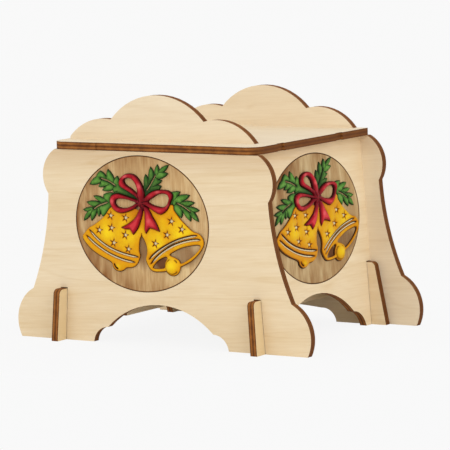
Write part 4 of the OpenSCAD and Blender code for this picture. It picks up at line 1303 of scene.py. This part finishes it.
def cloth(name, light, dark, pitch, stripe=None, hem=None):
    """stripe is a colour and the width of one stripe with its gap, and hem is a colour and
    the distance along the cloth where it begins."""
    material, nodes = new_material(name)
    threads = nodes.effect("threads", Pitch=pitch)["Height"]
    parts = nodes.parts(nodes.stored("weave", "Vector"))
    blur, layers = pitch / 4, []
    if stripe:
        colour, width = stripe
        folded = nodes.math("PINGPONG", parts["X"], width)
        layers.append((nodes.ramp(folded, width / 2 - blur, width / 2 + blur), colour))
    if hem:
        colour, start = hem
        layers.append((nodes.ramp(parts["Y"], start - blur, start + blur), colour))
    clouds = nodes.effect("blotch", Scale=240.0, Low=dark, High=light)["Colour"]
    deep = nodes.ramp(threads, 0.0, 1.0, THREAD_DEPTH, 0.0)
    nodes.surface(
        Base_Color=nodes.mix(deep, nodes.coats(clouds, layers), THREAD_SHADE, "MULTIPLY"),
        Roughness=0.88,
        Specular_IOR_Level=0.2,
        Sheen_Weight=0.3,
        Sheen_Roughness=0.5,
        Normal=nodes.bumped(threads, 0.5, 0.00012),
    )
    return material


def felt(name, light, dark):
    material, nodes = new_material(name)
    fuzz = nodes.noise(nodes.place(), 2600.0, Detail=5.0, Roughness=0.8)
    nodes.surface(
        Base_Color=nodes.effect("blotch", Scale=320.0, Detail=6.0, Low=dark, High=light)["Colour"],
        Roughness=0.95,
        Specular_IOR_Level=0.15,
        Sheen_Weight=0.45,
        Sheen_Roughness=0.4,
        Normal=nodes.bumped(fuzz, 0.6, 0.00025),
    )
    return material


make_threads_group()
STRIPE = (rgb(244, 230, 200), 8.8 * MM)
HEM = (rgb(190, 36, 46), 10.4 * MM)
striped = cloth("striped_cloth", rgb(186, 34, 46), rgb(152, 20, 34), 0.55 * MM, stripe=STRIPE)
frill_cloth = cloth("collar_cloth", rgb(248, 238, 216), rgb(236, 222, 194), 0.45 * MM, hem=HEM)
arm_cloth = cloth("green_cloth", rgb(64, 126, 56), rgb(40, 92, 40), 0.5 * MM)
cap_felt = felt("crimson_felt", rgb(190, 30, 42), rgb(150, 18, 30))
trim_felt = felt("gold_felt", rgb(240, 196, 70), rgb(214, 160, 40))
print("cloths:", [m.name for m in (striped, frill_cloth, arm_cloth, cap_felt, trim_felt)])

# %% [markdown]
# ## Skins for soft parts
# Every soft part is a skin over rows of points: closed rings that follow one another along
# an axis or a path. A sheet of cloth goes along its outer side and comes back along its
# inner one. Where a weave is given, each point's place on the cloth is kept on the mesh.

# %% Skins over rows of points
CREASE = math.radians(50)
TUBE_SIDES = 28
NO_PATH = Vector((0.31, 0.17, 0.93))
axis = Vector((head_middle.x, head_middle.y, 0))


def loft(name, rows, finish, wrap_rows=False, weave=None):
    """A smooth skin over closed rows of points, with flat ends unless the rows wrap round."""
    rows = np.asarray(rows, float)
    n, m = rows.shape[:2]
    faces = []
    for i in range(n if wrap_rows else n - 1):
        j = (i + 1) % n
        faces += [(i * m + k, i * m + (k + 1) % m, j * m + (k + 1) % m, j * m + k) for k in range(m)]
    if not wrap_rows:
        faces += [tuple(reversed(range(m))), tuple(range((n - 1) * m, n * m))]
    mesh = bpy.data.meshes.new(name)
    mesh.from_pydata([tuple(p) for p in rows.reshape(-1, 3)], [], faces)
    mesh.materials.append(finish)
    shaped = bmesh.new()
    shaped.from_mesh(mesh)
    bmesh.ops.recalc_face_normals(shaped, faces=shaped.faces)
    for face in shaped.faces:
        face.smooth = True
    for edge in shaped.edges:
        edge.smooth = edge.calc_face_angle(0) < CREASE
    shaped.to_mesh(mesh)
    shaped.free()
    if weave is not None:
        keep(mesh, "weave", np.pad(np.asarray(weave).reshape(-1, 2), ((0, 0), (0, 1))))
    piece = bpy.data.objects.new(name, mesh)
    scene.collection.objects.link(piece)
    return piece


def round_turns(sides):
    return np.arange(sides) * 2 * math.pi / sides


def ring(centre, radius, z, turns, lift=0.0):
    """Points round the upright axis through centre, at the given turns in radians."""
    radius = np.broadcast_to(radius, turns.shape)
    x, y = centre.x + radius * np.cos(turns), centre.y + radius * np.sin(turns)
    return np.stack([x, y, z + lift + 0 * turns], 1)


def sheet_rows(steps, row):
    """Rows and weave of a sheet, along its outer side and back along its inner one.
    row gives both for a share of the way and a side, 1 or -1."""
    shares = [i / steps for i in range(steps + 1)]
    return zip(*[row(t, 1) for t in shares], *[row(t, -1) for t in reversed(shares)])


def tube_rows(spots, radii, ripple):
    """Round sections along a path. ripple wrinkles them slightly. NO_PATH is a direction
    that no path takes, to lay the sections out from."""
    turns = round_turns(TUBE_SIDES)
    rows = []
    for i, (spot, radius) in enumerate(zip(spots, radii)):
        ahead = (spots[min(i + 1, len(spots) - 1)] - spots[max(i - 1, 0)]).normalized()
        side = ahead.cross(NO_PATH).normalized()
        over = side.cross(ahead)
        reach = radius * (1 + ripple * np.sin(3 * turns + 1.3 * i))
        rows.append(
            np.array(spot) + np.outer(reach * np.cos(turns), side) + np.outer(reach * np.sin(turns), over)
        )
    return rows


print("axis of the jack in mm:", [round(v / MM, 2) for v in axis.xy])

# %% [markdown]
# ## Spring and sleeve
# The jack hides folded under the lid. Its sleeve is a long striped tube, gathered into
# close pleats between the two turned discs, round the pressed coil. It holds a little more
# cloth than the height it spans when the jack is up. The wire is drawn flat where it will be
# stretched most, so that it is round when the jack is up.

# %% Spring and sleeve
SLEEVE_LOW, SLEEVE_HIGH = (end.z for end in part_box("spring_sleeve"))
SLEEVE_IN, SLEEVE_OUT = 14.6 * MM, 18.6 * MM
PLEATS = 16
STEPS_PER_PLEAT = 8
SLEEVE_SIDES = 144
FOLD = 0.96
GATHER = 0.22 * MM
GATHER_WAVES, GATHER_TURN = 23, 2.4
CLOTH_HALF = 0.45 * MM
COIL_R, WIRE_R, COIL_TURNS = 12.5 * MM, 0.8 * MM, 8
STEPS_PER_TURN = 32
WIRE_SIDES = 10
JACK_TRAVEL = 100.8 * MM


def stretch_with_jack(piece, node):
    """Puts the piece in place of a ready-made node, with its transform baked into its mesh."""
    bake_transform(piece)
    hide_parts(node)


def pleated_sleeve():
    turns = round_turns(SLEEVE_SIDES)
    middle, half = (SLEEVE_IN + SLEEVE_OUT) / 2, (SLEEVE_OUT - SLEEVE_IN) / 2
    length = 2 * PLEATS * (SLEEVE_OUT - SLEEVE_IN)

    def row(t, way):
        swing = math.asin(FOLD * math.cos(2 * math.pi * PLEATS * t)) / math.asin(FOLD)
        waves = np.sin(GATHER_WAVES * turns + GATHER_TURN * math.floor(PLEATS * t + 0.5))
        radius = middle + half * swing + way * CLOTH_HALF + GATHER * waves * (0.5 + 0.5 * swing)
        points = ring(axis, radius, SLEEVE_LOW + (SLEEVE_HIGH - SLEEVE_LOW) * t, turns)
        return points, np.stack([turns * SLEEVE_OUT, length * t + 0 * turns], 1)

    rows, weave = sheet_rows(PLEATS * STEPS_PER_PLEAT, row)
    piece = loft("sleeve_cloth", rows, striped, wrap_rows=True, weave=weave)
    stretch_with_jack(piece, "spring_sleeve")


def coil():
    low, high = (end.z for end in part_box("coil_spring"))
    length, closed = high - low - 2 * WIRE_R, 2 * WIRE_R
    pitch = (length - 2 * closed) / (COIL_TURNS - 2)
    around = round_turns(WIRE_SIDES)
    reach = COIL_R + WIRE_R * np.cos(around)
    rows = []
    for i in range(COIL_TURNS * STEPS_PER_TURN + 1):
        t = i / STEPS_PER_TURN
        rise = t * closed if t < 1 else closed + (t - 1) * pitch
        if t > COIL_TURNS - 1:
            rise = length - (COIL_TURNS - t) * closed
        share = rise / length
        stretch = 1 + 6 * share * (1 - share) * JACK_TRAVEL / length
        z = low + WIRE_R + rise + WIRE_R / stretch * np.sin(around)
        x, y = (reach * turn(2 * math.pi * t) for turn in (math.cos, math.sin))
        rows.append(np.stack([axis.x + x, axis.y + y, z], 1))
    stretch_with_jack(loft("coil_wire", rows, steel), "coil_spring")


pleated_sleeve()
coil()

# %% [markdown]
# ## Collar and arms
# The collar is a ring of cloth in a running frill with a red hem. The sleeves of the
# figure are slack tubes from the shoulder to a turned hand, with a cuff at the wrist.

# %% Collar and arms
COLLAR_IN = 5.3 * MM
FRILLS = 14
FRILL_HALF = 0.17 * MM
FRILL_STEPS, FRILL_SIDES = 9, 18
FRILL_LEAN = 0.7
TUCK = 0.35 * MM
HEM_FULLNESS = 1.5
ARM_STEPS = 26
ARM_R, ARM_SLACK, CUFF = 2.35 * MM, 0.12 * MM, 0.45 * MM
THREAD_ROUND, THREAD_ALONG = 0.6 * MM, 0.7 * MM


def wear(piece, node):
    """The piece rides on the jack in place of a ready-made node."""
    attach(piece, "jack")
    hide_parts(node)
    return piece


def frilled_collar():
    low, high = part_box("ruff")
    middle_z, half_z = (low.z + high.z) / 2, (high.z - low.z) / 2
    outer = (high.x - low.x) / 2
    width = outer - COLLAR_IN
    turns = round_turns(FRILLS * FRILL_SIDES)
    frill = np.sin(FRILLS * turns + FRILL_LEAN * np.sin(2 * FRILLS * turns))
    tuck = TUCK * (1 - np.cos(2 * FRILLS * turns)) / 2

    def row(t, way):
        wave = (half_z - FRILL_HALF) * min(1, 0.15 + 1.1 * t) * frill
        points = ring(axis, COLLAR_IN + width * t - tuck * t, middle_z + way * FRILL_HALF, turns, wave)
        return points, np.stack([turns * outer * HEM_FULLNESS, width * t + 0 * turns], 1)

    rows, weave = sheet_rows(FRILL_STEPS, row)
    piece = loft("collar", rows, frill_cloth, wrap_rows=True, weave=weave)
    wear(piece, "ruff")


def arm(side):
    low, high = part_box("hands")
    hand_r = (high.z - low.z) / 2
    torso_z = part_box("torso")[0].z
    hand = Vector((side * (high.x - hand_r), low.y + hand_r, (low.z + high.z) / 2))
    shoulder = Vector((side * 9.0 * MM, axis.y, torso_z + 9.0 * MM))
    elbow = Vector((side * 16.4 * MM, axis.y - 2.6 * MM, torso_z + 5.4 * MM))
    wrist = hand + Vector((0, hand_r * 0.72, 0))
    bend = 2 * elbow - (shoulder + wrist) / 2
    spots, radii = [], []
    for t in (k / ARM_STEPS for k in range(ARM_STEPS + 1)):
        spots.append(shoulder * (1 - t) ** 2 + bend * 2 * t * (1 - t) + wrist * t * t)
        slack = ARM_SLACK * math.sin(17 * t) * (1 - t)
        radii.append(ARM_R + slack + (CUFF if t > 0.9 else 0))
    weave = [
        [(k * THREAD_ROUND, i * THREAD_ALONG) for k in range(TUBE_SIDES)] for i in range(ARM_STEPS + 1)
    ]
    name = "arm_left" if side < 0 else "arm_right"
    wear(loft(name, tube_rows(spots, radii, 0.035), arm_cloth, weave=weave), "arms")


frilled_collar()
for side in (-1, 1):
    arm(side)

# %% [markdown]
# ## The cap
# The felt cap has a crown with a seam ridge from front to back, two horns that curl down
# to a bell, and a rolled gold band where it ends on the head.

# %% Cap
CAP_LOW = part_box("cap")[0].z - head_middle.z
CROWN_R = HEAD_R + 1.2 * MM
CROWN_STEPS = 24
SEAM_HIGH, SEAM_HALF = 0.28 * MM, 0.55 * MM
HORN_X, HORN_UP, HORN_SWEEP = 9.5 * MM, 6 * MM, 8.5 * MM
HORN_CURL = 150
HORN_STEPS = 34
HORN_R, HORN_TIP_R, HORN_SLACK, HORN_TIP = 3.5 * MM, 1.5 * MM, 0.1 * MM, 0.93
BAND_R, BAND_RIPPLE = 0.95 * MM, 0.07 * MM
BAND_OUT, BAND_UP = 0.55 * MM, 0.6 * MM


def cap_piece(name, rows, finish, **more):
    wear(loft(name, rows, finish, **more), "cap")


def cap_crown():
    turns = round_turns(96)
    rows = [ring(head_middle, HEAD_R * 0.95, head_middle.z + CAP_LOW, turns)]
    start = math.asin(CAP_LOW / CROWN_R)
    for i in range(CROWN_STEPS + 1):
        tilt = start + (math.pi / 2 - 0.01 - start) * i / CROWN_STEPS
        from_seam = np.cos(turns) * math.cos(tilt) * CROWN_R / SEAM_HALF
        reach = CROWN_R + SEAM_HIGH * np.exp(-(from_seam**2))
        height = head_middle.z + reach * math.sin(tilt)
        rows.append(ring(head_middle, reach * math.cos(tilt), 0, turns, height))
    cap_piece("cap_crown", rows, cap_felt)


def cap_horn(side):
    spots, radii = [], []
    for t in (k / HORN_STEPS for k in range(HORN_STEPS + 1)):
        turn = math.radians(HORN_CURL * (1 - t))
        out, up = HORN_X + HORN_SWEEP * math.cos(turn), HORN_UP + HORN_SWEEP * math.sin(turn)
        spots.append(head_middle + Vector((side * out, 0, up)))
        slack = HORN_SLACK * math.sin(14 * t)
        tip = math.sqrt(max(0.02, 1 - max(0, (t - HORN_TIP) / (1 - HORN_TIP)) ** 2))
        radii.append((HORN_R * (1 - t) + HORN_TIP_R * t + slack) * tip)
    name = "cap_horn_left" if side < 0 else "cap_horn_right"
    cap_piece(name, tube_rows(spots, radii, 0.02), cap_felt)


def cap_trim():
    low = head_middle.z + CAP_LOW
    reach = math.sqrt(HEAD_R**2 - CAP_LOW**2) + BAND_OUT
    turns, rows = round_turns(120), []
    roll = BAND_R + BAND_RIPPLE * np.sin(30 * turns)
    for around in round_turns(14):
        radius, lift = reach + roll * math.cos(around), roll * math.sin(around)
        rows.append(ring(axis, radius, low + BAND_UP, turns, lift))
    cap_piece("cap_trim", rows, trim_felt, wrap_rows=True)


cap_crown()
for side in (-1, 1):
    cap_horn(side)
cap_trim()
